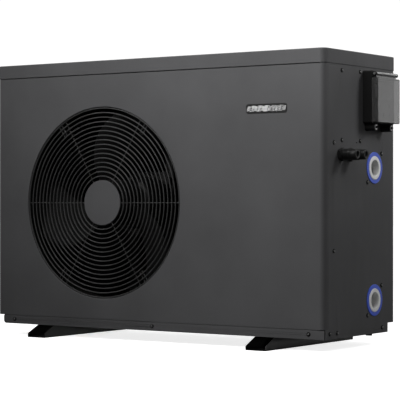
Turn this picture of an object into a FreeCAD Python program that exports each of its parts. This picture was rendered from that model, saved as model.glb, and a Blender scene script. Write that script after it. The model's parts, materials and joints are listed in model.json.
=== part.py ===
"""Swimming-pool heat pump unit: a sheet-metal casing on two channel feet, with a guarded axial fan,
an L-shaped evaporator, a compressor, a titanium water heat exchanger and a side control box.

Frame: millimetres, +Z up, +X towards the service side, the fan side faces -Y.
The origin is on the ground at the centre of the four anchor slots in the feet.
"""
import FreeCAD, Part
import math
import os

V = FreeCAD.Vector
X_AXIS, Y_AXIS, Z_AXIS = V(1, 0, 0), V(0, 1, 0), V(0, 0, 1)

# ---------------------------------------------------------------- driving dimensions
CASE_W, CASE_D, CASE_H = 890.6, 307.0, 600.0      # outside of the top cover, and base to top
SERVICE_X, FRONT_Y = 443.0, -147.0                # the cover's service side and front
FOOT_H = 26.0                                     # height of the channel feet
SHEET = 1.2                                       # casing sheet thickness
LAP = 1.3                                         # step from the cover lip in to the panels
LIP_H = 30.0                                      # depth of the top cover's lip
CORNER_R = 13.0                                   # vertical corners of the front panel and cover
WRAP = 14.0                                       # how far the front panel wraps round each side
RIGHT_FOLD, LEFT_FOLD = 40.0, 70.0                # side panels' folds on to the back
TRAY_LIP_H = 20.0                                 # height of the base tray's flange
TRAY_INSET_LEFT, TRAY_INSET_REAR = 19.8, 34.7     # tray flange in from the panel planes
TRAY_STEP, TRAY_CORNER_R = 1.5, 7.0               # flange below the panels, bend at the left end
GAP = 0.4                                         # clearance between sheets that meet

FOOT_X, FOOT_W, FOOT_HALF_L = 297.0, 50.0, 183.0  # foot centre line, width, half length
FOOT_T, FOOT_TOE_H, FOOT_FLAT_HALF_L = 2.0, 9.0, 147.0
FOOT_LIP_W, FOOT_LIP_HALF_L = 10.0, 120.0         # inward lips the tray rests on
SLOT_Y, SLOT_W, SLOT_L = 168.0, 10.0, 24.0        # anchor slots in the toes

FAN_X, FAN_Z = -137.5, 306.8                      # fan axis, along Y
OPENING_R = 214.8
RING_COUNT, RING_R_MAX, RING_PITCH, WIRE_R = 16, 212.3, 10.16, 1.4
HUB_DISC_R = 50.8
CLIP_ANGLES = (55, 125, 235, 305)
ORIFICE_R = 218.0
BLADE_TIP_R, BLADE_COUNT, FAN_HUB_R = 207.0, 3, 52.0
SHAFT_R, SHAFT_PLAY = 6.0, 0.05
BADGE_X0, BADGE_X1, BADGE_Z0, BADGE_Z1, BADGE_T = 250.0, 351.0, 495.0, 515.0, 0.8

PORT_Y, PORT_ZS = 64.0, (382.0, 98.0)             # water ports on the service side
PORT_RING_R, SOCKET_R, PORT_BORE_R, SOCKET_DEPTH = 34.0, 25.5, 17.5, 32.0
THROAT_R = 16.0                                   # water way behind the socket's shoulder
PORT_SCREW_OFFSET = 31.0
GLAND_YS, GLAND_Z, GLAND_BORE_R, GLAND_LEN = (-81.0, -44.0), 408.0, 6.5, 41.0
GLAND_THREAD_R, GLAND_HOLE_R, GLAND_NECK_R = 10.5, 11.0, 9.2
GLAND_HEX, GLAND_CAP_HEX, GLAND_DOME_R = 25.0, 24.6, 12.6
SPARE_HOLE_Y, SPARE_HOLE_Z, SPARE_HOLE_R = -14.0, 434.0, 1.8

BOX_Y0, BOX_Y1, BOX_Z0, BOX_Z1 = 13.0, 112.0, 476.0, 588.0
BOX_BASE_D, COVER_D, COVER_WALL = 21.5, 15.0, 2.2
COVER_Z0, COVER_Z1 = 477.0, 573.0
HINGE_Z, BARREL_R, PIN_R, PIN_PLAY = 581.0, 4.4, 1.5, 0.05
BUTTON_R, BUTTON_PLAY = 4.5, 0.35
WINDOW_Z0, WINDOW_T, WINDOW_FIT = 528.0, 1.2, 0.1 # display window's lower edge, depth, clearance
CONTROL_CABLE_Z, CONTROL_CABLE_R = 530.0, 8.5     # cable hole behind the control box

PARTITION_X = 110.0
COIL_T, COIL_Z0, COIL_Z1 = 37.0, 32.0, 588.0      # evaporator block thickness and height
COIL_REAR_Y, COIL_LEFT_X, COIL_FRONT_Y = 121.0, -424.0, -118.0
COIL_END_X = 118.0
TUBE_R, TUBE_PITCH, TUBE_ROWS = 4.0, 25.0, (0.28, 0.72)

COMP_X, COMP_Y, COMP_R, COMP_Z0, COMP_Z1 = 204.0, -62.0, 58.0, 50.0, 290.0
ACC_X, ACC_Y, ACC_R, ACC_Z0, ACC_Z1 = 297.0, -62.0, 28.0, 90.0, 270.0
HX_X, HX_R, HX_WALL, HX_Z0, HX_Z1 = 315.0, 68.0, 5.0, 60.0, 436.0
COIL_TUBE_R, COIL_HELIX_R, COIL_PITCH = 7.0, 44.0, 30.0
HX_COIL_Z0, COIL_TURNS = 110.0, 9                 # start and turns of the coil in the exchanger
PIPE_R, SUCTION_R, PIPE_WALL = 5.0, 7.0, 1.0
BOLT_R = 4.0
DRAIN_X, DRAIN_Y, DRAIN_R, DRAIN_BORE_R, DRAIN_LEN = 410.0, 97.0, 7.0, 4.5, 7.5
DRAIN_SPIGOT_R, DRAIN_FLANGE_R = 6.2, 10.0        # through the tray, and on its floor

# ---------------------------------------------------------------- planes worked out from those
BASE_Z = FOOT_H
TOP_Z = FOOT_H + CASE_H
COVER_X0, COVER_X1 = SERVICE_X - CASE_W, SERVICE_X
COVER_Y0, COVER_Y1 = FRONT_Y, FRONT_Y + CASE_D
PANEL_X0, PANEL_X1 = COVER_X0 + LAP, COVER_X1 - LAP
PANEL_Y0, PANEL_Y1 = COVER_Y0 + LAP, COVER_Y1 - LAP
PANEL_Z0 = BASE_Z + TRAY_LIP_H
PANEL_Z1 = TOP_Z - SHEET - 10.0
IN_X0, IN_X1 = PANEL_X0 + SHEET, PANEL_X1 - SHEET
IN_Y0, IN_Y1 = PANEL_Y0 + SHEET, PANEL_Y1 - SHEET
TRAY_X0, TRAY_X1 = PANEL_X0 + TRAY_INSET_LEFT, IN_X1 - GAP
TRAY_Y0, TRAY_Y1 = PANEL_Y0, PANEL_Y1 - TRAY_INSET_REAR
FLOOR_Z = BASE_Z + SHEET
BOX_FACE_X = PANEL_X1 + BOX_BASE_D
COVER_FACE_X = BOX_FACE_X + COVER_D
HINGE_X = BOX_FACE_X + 6.5
BOX_YC = (BOX_Y0 + BOX_Y1) / 2


# ---------------------------------------------------------------- shape helpers
# Cutting shapes run a few millimetres past what they cut.
def box(x0, x1, y0, y1, z0, z1):
    return Part.makeBox(x1 - x0, y1 - y0, z1 - z0, V(x0, y0, z0))


def rod(r, start, axis, length):
    return Part.makeCylinder(r, length, V(*start), axis)


def pipe_piece(r_out, r_in, start, axis, length):
    return rod(r_out, start, axis, length).cut(rod(r_in, start, axis, length))


def fuse(shapes):
    shapes = list(shapes)
    return shapes[0].multiFuse(shapes[1:]).removeSplitter() if len(shapes) > 1 else shapes[0]


def group(shapes):
    return Part.makeCompound(list(shapes))


def round_edges(shape, radius, wanted):
    """Round the edges whose end points satisfy the test wanted(a, b)."""
    straight = [e for e in shape.Edges if len(e.Vertexes) == 2]
    edges = [e for e in straight if wanted(e.Vertexes[0].Point, e.Vertexes[1].Point)]
    return shape.makeFillet(radius, edges)


def end_rims(shape, axis, place=None):
    """The edges lying flat across the named axis, all of them or those at one place on it."""
    def ends(edge):
        bounds = edge.BoundBox
        return {"x": (bounds.XMin, bounds.XMax), "y": (bounds.YMin, bounds.YMax),
                "z": (bounds.ZMin, bounds.ZMax)}[axis]
    flat = [e for e in shape.Edges if ends(e)[1] - ends(e)[0] < 1e-6]
    if place is None:
        return flat
    return [e for e in flat if abs(ends(e)[0] - place) < 1e-6]


def along(axis):
    """An edge test: the edge runs along the named axis."""
    others = [i for i in range(3) if i != "xyz".index(axis)]

    def test(a, b):
        return all(abs(a[i] - b[i]) < 1e-6 for i in others)
    return test


def ring_torus(radius, wire_r, centre, axis=Y_AXIS):
    return Part.makeTorus(radius, wire_r, V(*centre), axis)


def bent_path(points, bend_r):
    """Straight runs joined by tangent arcs, as one wire."""
    pts = [V(*p) for p in points]
    edges = []
    start = pts[0]
    for before, corner, after in zip(pts, pts[1:], pts[2:]):
        u = (before - corner).normalize()
        w = (after - corner).normalize()
        half = math.acos(max(-1.0, min(1.0, u.dot(w)))) / 2
        reach = bend_r / math.tan(half)
        a, b = corner + u * reach, corner + w * reach
        bisector = (u + w).normalize()
        middle = corner + bisector * (bend_r / math.sin(half) - bend_r)
        edges.append(Part.LineSegment(start, a).toShape())
        edges.append(Part.Arc(a, middle, b).toShape())
        start = b
    edges.append(Part.LineSegment(start, pts[-1]).toShape())
    return Part.Wire(edges)


def sweep_round(path, radius):
    start = path.OrderedVertexes[0].Point
    direction = path.OrderedEdges[0].tangentAt(path.OrderedEdges[0].FirstParameter)
    profile = Part.Wire([Part.makeCircle(radius, start, direction)])
    return path.makePipeShell([profile], True, False)


def bent_pipe(points, radius, bend_r):
    path = bent_path(points, bend_r)
    return sweep_round(path, radius).cut(sweep_round(path, radius - PIPE_WALL))


def u_bend(centre, half_pitch, tube_r, stub, out):
    """A return bend: half a torus in the plane of Z and out, with a short stub at each end."""
    c = V(*centre)
    top, bottom = c + Z_AXIS * half_pitch, c - Z_AXIS * half_pitch
    path = Part.Wire([
        Part.LineSegment(top, top + out * stub).toShape(),
        Part.Arc(top + out * stub, c + out * (stub + half_pitch), bottom + out * stub).toShape(),
        Part.LineSegment(bottom + out * stub, bottom).toShape(),
    ])
    return sweep_round(path, tube_r)


def rotated(shape, centre, axis, angle):
    copy = shape.copy()
    copy.rotate(V(*centre), axis, angle)
    return copy


def slot_cutter(x, y, z0, z1, length, width):
    half = length / 2 - width / 2
    return fuse([
        box(x - half, x + half, y - width / 2, y + width / 2, z0, z1),
        rod(width / 2, (x - half, y, z0), Z_AXIS, z1 - z0),
        rod(width / 2, (x + half, y, z0), Z_AXIS, z1 - z0),
    ])


def hex_prism(across_flats, start, axis, length):
    r = across_flats / math.sqrt(3)
    angles = [math.radians(60 * i) for i in range(7)]
    pts = [V(r * math.cos(a), r * math.sin(a), 0) for a in angles]
    solid = Part.Face(Part.makePolygon(pts)).extrude(Z_AXIS * length)
    solid.Placement = FreeCAD.Placement(V(*start), FreeCAD.Rotation(Z_AXIS, axis))
    return solid


# ---------------------------------------------------------------- base and feet
def base_tray():
    """Folded tray, with a joggled strip behind the front panel and slots that let water out."""
    strip_left, strip_right, strip_rise = 0.8, 14.0, 15.0
    slot_xs, slot_y, slot_l, slot_w = (-220, -60), 100, 30, 8

    def shell(inset, z_top):
        block = box(TRAY_X0 + inset, TRAY_X1 - inset, TRAY_Y0 + inset, TRAY_Y1 - inset,
                    BASE_Z + inset, z_top)

        def bottom_end(a, b):
            return along("y")(a, b) and abs(a.z - BASE_Z - inset) < 1e-6 and a.x < 0
        return round_edges(block, TRAY_CORNER_R - inset, bottom_end)
    z = PANEL_Z0 - TRAY_STEP
    tray = shell(0, z).cut(shell(SHEET, TOP_Z))
    x0, x1 = TRAY_X0 + strip_left, TRAY_X1 - strip_right
    strip_y = TRAY_Y0 + SHEET + 0.1
    strip = fuse([
        box(x0, x1, TRAY_Y0 + SHEET / 2, strip_y + SHEET, z - SHEET, z),
        box(x0, x1, strip_y, strip_y + SHEET, z - SHEET, z + strip_rise),
    ])
    holes = [rod(DRAIN_SPIGOT_R, (DRAIN_X, DRAIN_Y, BASE_Z - 1), Z_AXIS, 5)]
    holes += [slot_cutter(x, slot_y, BASE_Z - 1, BASE_Z + 4, slot_l, slot_w) for x in slot_xs]
    holes += [head_hole(s) for s in TRAY_SCREWS + SKIRT_SCREWS]
    return fuse([tray, strip]).cut(group(holes))


def foot(side):
    x0, x1 = side * FOOT_X - FOOT_W / 2, side * FOOT_X + FOOT_W / 2
    y = FOOT_HALF_L
    flat = FOOT_FLAT_HALF_L
    profile = [V(x0, -y, 0), V(x0, y, 0), V(x0, y, FOOT_TOE_H), V(x0, flat, FOOT_H),
               V(x0, -flat, FOOT_H), V(x0, -y, FOOT_TOE_H), V(x0, -y, 0)]
    channel = Part.Face(Part.makePolygon(profile)).extrude(X_AXIS * FOOT_W)
    channel = channel.cut(box(x0 + FOOT_T, x1 - FOOT_T, -y - 1, y + 1, FOOT_T, FOOT_H + 1))
    lip_xs = (x0 + FOOT_T / 2, x1 - FOOT_T / 2 - FOOT_LIP_W)
    lips = [box(x, x + FOOT_LIP_W, -FOOT_LIP_HALF_L, FOOT_LIP_HALF_L, FOOT_H - FOOT_T, FOOT_H)
            for x in lip_xs]
    slots = [slot_cutter(side * FOOT_X, s * SLOT_Y, -1, FOOT_T + 1, SLOT_L, SLOT_W)
             for s in (-1, 1)]
    return fuse([channel] + lips).cut(group(slots))


def drain_nipple():
    flange_t = 2.0
    body = fuse([
        rod(DRAIN_R, (DRAIN_X, DRAIN_Y, BASE_Z - DRAIN_LEN), Z_AXIS, DRAIN_LEN),
        rod(DRAIN_SPIGOT_R, (DRAIN_X, DRAIN_Y, BASE_Z - 1), Z_AXIS, 1 + SHEET),
        rod(DRAIN_FLANGE_R, (DRAIN_X, DRAIN_Y, FLOOR_Z), Z_AXIS, flange_t),
    ])
    return body.cut(rod(DRAIN_BORE_R, (DRAIN_X, DRAIN_Y, 0), Z_AXIS, BASE_Z + 10))


# ---------------------------------------------------------------- screws that hold the casing
SCREW_R, SCREW_LEN, SCREW_WASHER_R, SCREW_WASHER_T = 1.9, 8.0, 4.7, 0.9
SCREW_HEX, SCREW_HEAD_H = 6.4, 3.4
CROSS_HALF_L, CROSS_HALF_W, CROSS_DEPTH = 2.2, 0.5, 1.2


def screw(place, axis):
    """A washer-head sheet screw whose head sits on the outside at place."""
    out = V(*axis)
    washer = rod(SCREW_WASHER_R, place, out, SCREW_WASHER_T)
    head = hex_prism(SCREW_HEX, place, out, SCREW_HEAD_H)
    shank = rod(SCREW_R, place, out * -1, SCREW_LEN)
    a, b = CROSS_HALF_L, CROSS_HALF_W
    cross = group([box(-a, a, -b, b, 0, 2), box(-b, b, -a, a, 0, 2)])
    cross.Placement = FreeCAD.Placement(V(*place) + out * (SCREW_HEAD_H - CROSS_DEPTH),
                                        FreeCAD.Rotation(Z_AXIS, out))
    return fuse([washer, head, shank]).cut(cross)


def head_hole(spec):
    place, axis = spec
    start = V(*place) + V(*axis)
    return Part.makeCylinder(SCREW_R + 0.1, 14, start, V(*axis) * -1)


RIGHT, LEFT, FRONT, REAR = (1, 0, 0), (-1, 0, 0), (0, -1, 0), (0, 1, 0)
SIDE_SCREWS = [((PANEL_X1, y, z), RIGHT) for y, z in (
    (-76, 583), (1.5, 584), (-109, 432), (-76, 438), (1.5, 438), (-109, 208))]
PORT_SCREWS = [((PANEL_X1, PORT_Y + offset, z + offset), RIGHT)
               for z in PORT_ZS for offset in (-PORT_SCREW_OFFSET, PORT_SCREW_OFFSET)]
TRAY_SCREWS = [((x, TRAY_Y0, 36.5), FRONT) for x in (-393, 3, 403)]
SKIRT_SCREWS = [((PANEL_X1, y, 37.5), RIGHT) for y in (-126, -96, 98)]
LEFT_SCREWS = [((PANEL_X0, y, z), LEFT) for y in (-110, 110) for z in (70, 320, 575)]
REAR_SCREWS = [((x, PANEL_Y1, z), REAR) for x in (125, 380) for z in (80, 560)]
COVER_SCREWS = [((x, COVER_Y1, TOP_Z - 16), REAR) for x in (-350, -40, 380)]


def casing_screws():
    places = (SIDE_SCREWS + PORT_SCREWS + LEFT_SCREWS + REAR_SCREWS
              + TRAY_SCREWS + SKIRT_SCREWS + COVER_SCREWS)
    return group([screw(place, axis) for place, axis in places] + control_box_screws())


# ---------------------------------------------------------------- casing panels
def wrapped_face(inset, y_back, z0, z1):
    """The front panel's outline as a block: flat front with two round vertical corners."""
    block = box(PANEL_X0 + inset, PANEL_X1 - inset, PANEL_Y0 + inset, y_back, z0, z1)

    def front_corner(a, b):
        return along("z")(a, b) and a.y < y_back - 1
    return round_edges(block, CORNER_R - inset, front_corner)


def front_panel():
    lip_w, lip_rise = 12.0, 16.0
    y_back = PANEL_Y0 + WRAP
    shell = wrapped_face(0, y_back, PANEL_Z0, PANEL_Z1).cut(
        wrapped_face(SHEET, y_back + 5, PANEL_Z0 - 5, PANEL_Z1 + 5))
    lips = [box(x, x + lip_w, y_back - SHEET, y_back, PANEL_Z0 + lip_rise, PANEL_Z1)
            for x in (IN_X0, IN_X1 - lip_w)]
    opening = rod(OPENING_R, (FAN_X, COVER_Y0 - 5, FAN_Z), Y_AXIS, 40)
    return fuse([shell] + lips).cut(opening)


def cover_block(inset, z0, z1):
    block = box(COVER_X0 + inset, COVER_X1 - inset, COVER_Y0 + inset, COVER_Y1 - inset, z0, z1)
    return round_edges(block, CORNER_R + LAP - inset, along("z"))


def top_cover():
    edge_r = 2.0
    outer = cover_block(0, TOP_Z - LIP_H, TOP_Z)
    outer = outer.makeFillet(edge_r, end_rims(outer, "z", TOP_Z))
    return outer.cut(cover_block(SHEET, TOP_Z - LIP_H - 1, TOP_Z - SHEET)).cut(
        group([head_hole(s) for s in COVER_SCREWS]))


def side_panel(side):
    """A side sheet with its rear edge folded round on to the back."""
    y_front = PANEL_Y0 + WRAP + GAP
    fold = RIGHT_FOLD if side > 0 else LEFT_FOLD

    def block(inset, x_in, z0, z1):
        shape = box(PANEL_X1 - x_in, PANEL_X1 - inset, y_front - 2 * inset, PANEL_Y1 - inset, z0, z1)

        def rear_corner(a, b):
            return along("z")(a, b) and a.x > PANEL_X1 - inset - 1 and a.y > 0
        return round_edges(shape, CORNER_R - inset, rear_corner)
    shell = block(0, fold, PANEL_Z0, PANEL_Z1).cut(block(SHEET, fold + 5, PANEL_Z0 - 5, PANEL_Z1 + 5))
    if side < 0:
        shell = shell.mirror(V((PANEL_X0 + PANEL_X1) / 2, 0, 0), X_AXIS)
    return shell


def right_side_panel():
    skirt_y0, skirt_y1 = PANEL_Y0 + 2.5, TRAY_Y1
    skirt = box(IN_X1, PANEL_X1, skirt_y0, skirt_y1, BASE_Z, PANEL_Z0)
    main = side_panel(1)
    rounds = [(PORT_RING_R + 0.2, PORT_Y, z) for z in PORT_ZS]
    rounds += [(GLAND_HOLE_R, y, GLAND_Z) for y in GLAND_YS]
    rounds += [(SPARE_HOLE_R, SPARE_HOLE_Y, SPARE_HOLE_Z),
               (CONTROL_CABLE_R + 0.5, BOX_YC, CONTROL_CABLE_Z)]
    holes = [rod(r, (IN_X1 - 5, y, z), X_AXIS, 12) for r, y, z in rounds]
    holes += [head_hole(s) for s in SIDE_SCREWS + PORT_SCREWS + SKIRT_SCREWS]
    return fuse([main, skirt]).cut(group(holes))


INTAKE_ROWS, INTAKE_Z0, INTAKE_PITCH = 26, 76.0, 19.0
INTAKE_YS, INTAKE_HALF_L, INTAKE_HALF_W = (-64.0, 0.0, 64.0), 22.0, 4.0


def left_side_panel():
    """Left sheet with rows of air intake slots."""
    panel = side_panel(-1)
    flange = box(PANEL_X0 + SHEET / 2, TRAY_X0 - GAP, PANEL_Y0 + WRAP + GAP, PANEL_Y1 - 14,
                 PANEL_Z0, PANEL_Z0 + SHEET)
    x0, x1 = PANEL_X0 - 2, IN_X0 + 2
    holes = [head_hole(s) for s in LEFT_SCREWS]
    for row in range(INTAKE_ROWS):
        z = INTAKE_Z0 + row * INTAKE_PITCH
        for y in INTAKE_YS:
            y0, y1 = y - INTAKE_HALF_L, y + INTAKE_HALF_L
            holes.append(fuse([
                box(x0, x1, y0, y1, z - INTAKE_HALF_W, z + INTAKE_HALF_W),
                rod(INTAKE_HALF_W, (x0, y0, z), X_AXIS, x1 - x0),
                rod(INTAKE_HALF_W, (x0, y1, z), X_AXIS, x1 - x0),
            ]))
    return fuse([panel, flange]).cut(group(holes))


def rear_panel():
    """Sheet behind the machine side, with cooling slots, and the rail over the coil."""
    vents, vent_z0, vent_pitch, vent_l, vent_w = 8, 450, 14, 70, 6
    x0, x1 = PARTITION_X, PANEL_X1 - RIGHT_FOLD - GAP
    sheet = box(x0, x1, IN_Y1, PANEL_Y1, PANEL_Z0, PANEL_Z1)
    flange = box(x0, x1, TRAY_Y1 + GAP, PANEL_Y1 - SHEET / 2, PANEL_Z0, PANEL_Z0 + SHEET)
    edge = box(x0, x0 + SHEET, COIL_REAR_Y + 3, PANEL_Y1 - SHEET / 2, PANEL_Z0, PANEL_Z1)
    rail = box(PANEL_X0 + LEFT_FOLD + GAP, x0 + 1, IN_Y1, PANEL_Y1, TOP_Z - LIP_H - 6, PANEL_Z1)
    holes = [head_hole(s) for s in REAR_SCREWS + COVER_SCREWS]
    for i in range(vents):
        cutter = slot_cutter(0, 0, -4, 4, vent_l, vent_w)
        cutter.rotate(V(0, 0, 0), X_AXIS, 90)
        cutter.translate(V((x0 + x1) / 2, PANEL_Y1, vent_z0 + vent_pitch * i))
        holes.append(cutter)
    return fuse([sheet, flange, edge, rail]).cut(group(holes))


def rear_coil_guard():
    """Welded wire screen over the back of the evaporator."""
    upright_count, upright_r, upright_end = 18, 1.2, 6.0
    rail_count, rail_r, rail_end = 7, 1.6, 8.0
    x0, x1, z0, z1 = PANEL_X0 + LEFT_FOLD - 6, PARTITION_X, 52.0, 606.0
    y = IN_Y1 - upright_r
    x_step = (x1 - x0 - 2 * upright_end) / (upright_count - 1)
    z_step = (z1 - z0 - 2 * rail_end) / (rail_count - 1)
    uprights = [rod(upright_r, (x0 + upright_end + i * x_step, y, z0), Z_AXIS, z1 - z0)
                for i in range(upright_count)]
    rails = [rod(rail_r, (x0, y - upright_r - rail_r, z0 + rail_end + i * z_step), X_AXIS, x1 - x0)
             for i in range(rail_count)]
    return group(uprights + rails)


def badge_plate():
    plate = box(BADGE_X0, BADGE_X1, PANEL_Y0 - BADGE_T, PANEL_Y0, BADGE_Z0, BADGE_Z1)
    return round_edges(plate, 5.0, along("y"))


# ---------------------------------------------------------------- fan guard and fan
RING_Y = IN_Y0 + 0.3 + WIRE_R                      # centre plane of the guard rings
RIB_Y = RING_Y + 2 * WIRE_R                        # ribs are welded behind the rings


def fan_guard():
    """Sixteen wire rings, six long radial wires and a short pair of wires at each clip."""
    centre = (FAN_X, RIB_Y, FAN_Z)
    rib_in, rib_out = 30.0, ORIFICE_R - 0.4
    stub_in, stub_out = RING_R_MAX - 2 * RING_PITCH - 6, ORIFICE_R - 1.2
    stub_dz = 4.0
    wires = [ring_torus(RING_R_MAX - i * RING_PITCH, WIRE_R, (FAN_X, RING_Y, FAN_Z))
             for i in range(RING_COUNT)]
    rib = rod(WIRE_R, (FAN_X + rib_in, RIB_Y, FAN_Z), X_AXIS, rib_out - rib_in)
    wires += [rotated(rib, centre, Y_AXIS, 60 * i) for i in range(6)]
    for angle in CLIP_ANGLES:
        for dz in (-stub_dz, stub_dz):
            stub = rod(WIRE_R, (FAN_X + stub_in, RIB_Y, FAN_Z + dz), X_AXIS, stub_out - stub_in)
            wires.append(rotated(stub, centre, Y_AXIS, -angle))
    return group(wires)


def guard_hub_disc():
    """Flat disc with a rolled rim and a ring-shaped hollow in its back."""
    face_t, rim_w, boss_r = 1.2, 3.0, 33.0
    front = RING_Y - WIRE_R
    disc = rod(HUB_DISC_R, (FAN_X, front, FAN_Z), Y_AXIS, 2 * WIRE_R)
    disc = disc.makeFillet(1.2, end_rims(disc, "y", front))
    behind = (FAN_X, front + face_t, FAN_Z)
    return disc.cut(pipe_piece(HUB_DISC_R - rim_w, boss_r, behind, Y_AXIS, 5))


def guard_clips():
    """Angle clips that tie the guard's short wires to the orifice ring."""
    r_in, r_out, half_w, sheet = 184.0, ORIFICE_R - 0.3, 6.0, 1.5
    leg, hook_l, hook_half_w = 14.0, 5.0, 2.4
    y = RIB_Y + WIRE_R
    z0, z1 = FAN_Z - half_w, FAN_Z + half_w
    clip = fuse([
        box(FAN_X + r_in, FAN_X + r_out, y, y + sheet, z0, z1),
        box(FAN_X + r_out - sheet, FAN_X + r_out, y, y + leg, z0, z1),
        box(FAN_X + r_in, FAN_X + r_in + hook_l, y - 2, y, FAN_Z - hook_half_w, FAN_Z + hook_half_w),
    ])
    clip = clip.common(rod(ORIFICE_R - 0.2, (FAN_X, y - 10, FAN_Z), Y_AXIS, 60))
    return group([rotated(clip, (FAN_X, y, FAN_Z), Y_AXIS, -angle) for angle in CLIP_ANGLES])


def fan_orifice():
    """Ring round the blade tips, flanged at the front and rolled at the back."""
    wall, flange_w, roll_w = 2.0, 20.0, 8.0
    y0, y1 = IN_Y0, -88.0
    ring = pipe_piece(ORIFICE_R + wall, ORIFICE_R, (FAN_X, y0, FAN_Z), Y_AXIS, y1 - y0)
    flange = pipe_piece(ORIFICE_R + flange_w, ORIFICE_R, (FAN_X, y0, FAN_Z), Y_AXIS, wall)
    roll = pipe_piece(ORIFICE_R + roll_w, ORIFICE_R, (FAN_X, y1 - wall, FAN_Z), Y_AXIS, wall)
    return fuse([ring, flange, roll])


def blade_section(radius, chord, pitch, sweep):
    """A cambered plate section, in the plane square to the blade's span."""
    half, rise, half_t = chord / 2, 0.07 * chord, 1.3
    corners = {(x, z): V(x * half, 0, z * half_t) for x in (-1, 1) for z in (-1, 1)}
    upper = Part.Arc(corners[-1, 1], V(0, 0, rise + half_t), corners[1, 1])
    lower = Part.Arc(corners[1, -1], V(0, 0, rise - half_t), corners[-1, -1])
    nose = Part.LineSegment(corners[1, 1], corners[1, -1])
    tail = Part.LineSegment(corners[-1, 1], corners[-1, -1])
    wire = Part.Wire([side.toShape() for side in (upper, nose, lower, tail)])
    wire.rotate(V(0, 0, 0), X_AXIS, 90)
    wire.rotate(V(0, 0, 0), Z_AXIS, pitch)
    wire.translate(V(0, 0, radius))
    wire.rotate(V(0, 0, 0), Y_AXIS, sweep)
    return wire


def fan_impeller():
    hub_y0, hub_y1, blade_y, hub_wall = -122.0, -64.0, -93.0, 3.0
    boss_r, nose_r = 14.0, 10.0
    hub = rod(FAN_HUB_R, (FAN_X, hub_y0, FAN_Z), Y_AXIS, hub_y1 - hub_y0)
    hub = hub.makeFillet(nose_r, end_rims(hub, "y", hub_y0))
    hub = hub.cut(rod(FAN_HUB_R - hub_wall, (FAN_X, hub_y0 + 6, FAN_Z), Y_AXIS, 80))
    boss = rod(boss_r, (FAN_X, hub_y0 + hub_wall, FAN_Z), Y_AXIS, 40)
    # radius, chord, pitch and sweep of each section from root to tip
    stations = [(FAN_HUB_R - 6, 62, 44, -6), (95, 104, 35, 2), (145, 138, 27, 12), (186, 152, 22, 24)]
    swept = rod(BLADE_TIP_R, (FAN_X, -134, FAN_Z), Y_AXIS, 80)
    hollow = rod(FAN_HUB_R - hub_wall, (FAN_X, -140, FAN_Z), Y_AXIS, 90)
    blades = []
    for i in range(BLADE_COUNT):
        blade = Part.makeLoft([blade_section(*station) for station in stations], True)
        blade.rotate(V(0, 0, 0), Y_AXIS, 360.0 / BLADE_COUNT * i)
        blade.translate(V(FAN_X, blade_y, FAN_Z))
        blades.append(blade.common(swept).cut(hollow))
    solid = fuse([hub, boss] + blades)
    return solid.cut(rod(SHAFT_R, (FAN_X, -140, FAN_Z), Y_AXIS, 90))


MOTOR_Y0, MOTOR_Y1, MOTOR_R = -50.0, 40.0, 62.0
SHAFT_Y0, SHAFT_Y1 = -134.0, 34.0


def fan_shaft():
    """Fan shaft with the motor's rotor on it."""
    rotor_r, rotor_l = 37.0, 58.0
    shaft = rod(SHAFT_R, (FAN_X, SHAFT_Y0, FAN_Z), Y_AXIS, SHAFT_Y1 - SHAFT_Y0)
    rotor = rod(rotor_r, (FAN_X, MOTOR_Y0 + 14, FAN_Z), Y_AXIS, rotor_l)
    return fuse([shaft, rotor])


def fan_nut():
    nut_y, nut_h, washer_t = -131.0, 9.0, 1.5
    nut = hex_prism(17, (FAN_X, nut_y, FAN_Z), Y_AXIS, nut_h)
    washer = rod(12, (FAN_X, nut_y + nut_h, FAN_Z), Y_AXIS * -1, washer_t)
    return fuse([nut, washer]).cut(rod(SHAFT_R, (FAN_X, -140, FAN_Z), Y_AXIS, 30))


def fan_motor():
    """Motor shell with a hollow for the rotor, a bore for the shaft and four fixing ears."""
    ear_offset, ear_half, ear_t = 50.0, 8.0, 6.0
    shell = rod(MOTOR_R, (FAN_X, MOTOR_Y0, FAN_Z), Y_AXIS, MOTOR_Y1 - MOTOR_Y0)
    shell = shell.makeFillet(9, end_rims(shell, "y"))
    nose = rod(20, (FAN_X, MOTOR_Y0 - 6, FAN_Z), Y_AXIS, 10)
    cavity = rod(38, (FAN_X, MOTOR_Y0 + 12, FAN_Z), Y_AXIS, 62)
    bore = rod(SHAFT_R + SHAFT_PLAY, (FAN_X, MOTOR_Y0 - 10, FAN_Z), Y_AXIS, 96)
    ears = []
    for x in (FAN_X - ear_offset, FAN_X + ear_offset):
        for z in (FAN_Z - ear_offset, FAN_Z + ear_offset):
            ears.append(box(x - ear_half, x + ear_half, MOTOR_Y1 - ear_t, MOTOR_Y1,
                            z - ear_half, z + ear_half))
    return fuse([shell, nose] + ears).cut(fuse([cavity, bore]))


def motor_bracket():
    """Plate behind the motor on two channel posts, with a rail over the coil at the top."""
    plate_half_w, plate_half_h, post_x, post_half_w = 66.0, 72.0, 52.0, 10.0
    web_t, flange_d, post_top = 2.0, 16.0, 604.0
    y = MOTOR_Y1 + 1.5
    parts = [box(FAN_X - plate_half_w, FAN_X + plate_half_w, MOTOR_Y1, MOTOR_Y1 + 2.5,
                 FAN_Z - plate_half_h, FAN_Z + plate_half_h),
             box(FAN_X - plate_half_w, FAN_X + plate_half_w, y, COIL_REAR_Y,
                 COIL_Z1 + 4, COIL_Z1 + 5.5)]
    for x in (FAN_X - post_x, FAN_X + post_x):
        x0, x1 = x - post_half_w, x + post_half_w
        parts.append(box(x0, x1, y, y + web_t, FLOOR_Z, post_top))
        parts.append(box(x0, x0 + web_t, y, y + flange_d, FLOOR_Z, post_top))
        parts.append(box(x1 - web_t, x1, y, y + flange_d, FLOOR_Z, post_top))
    return fuse(parts)


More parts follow.
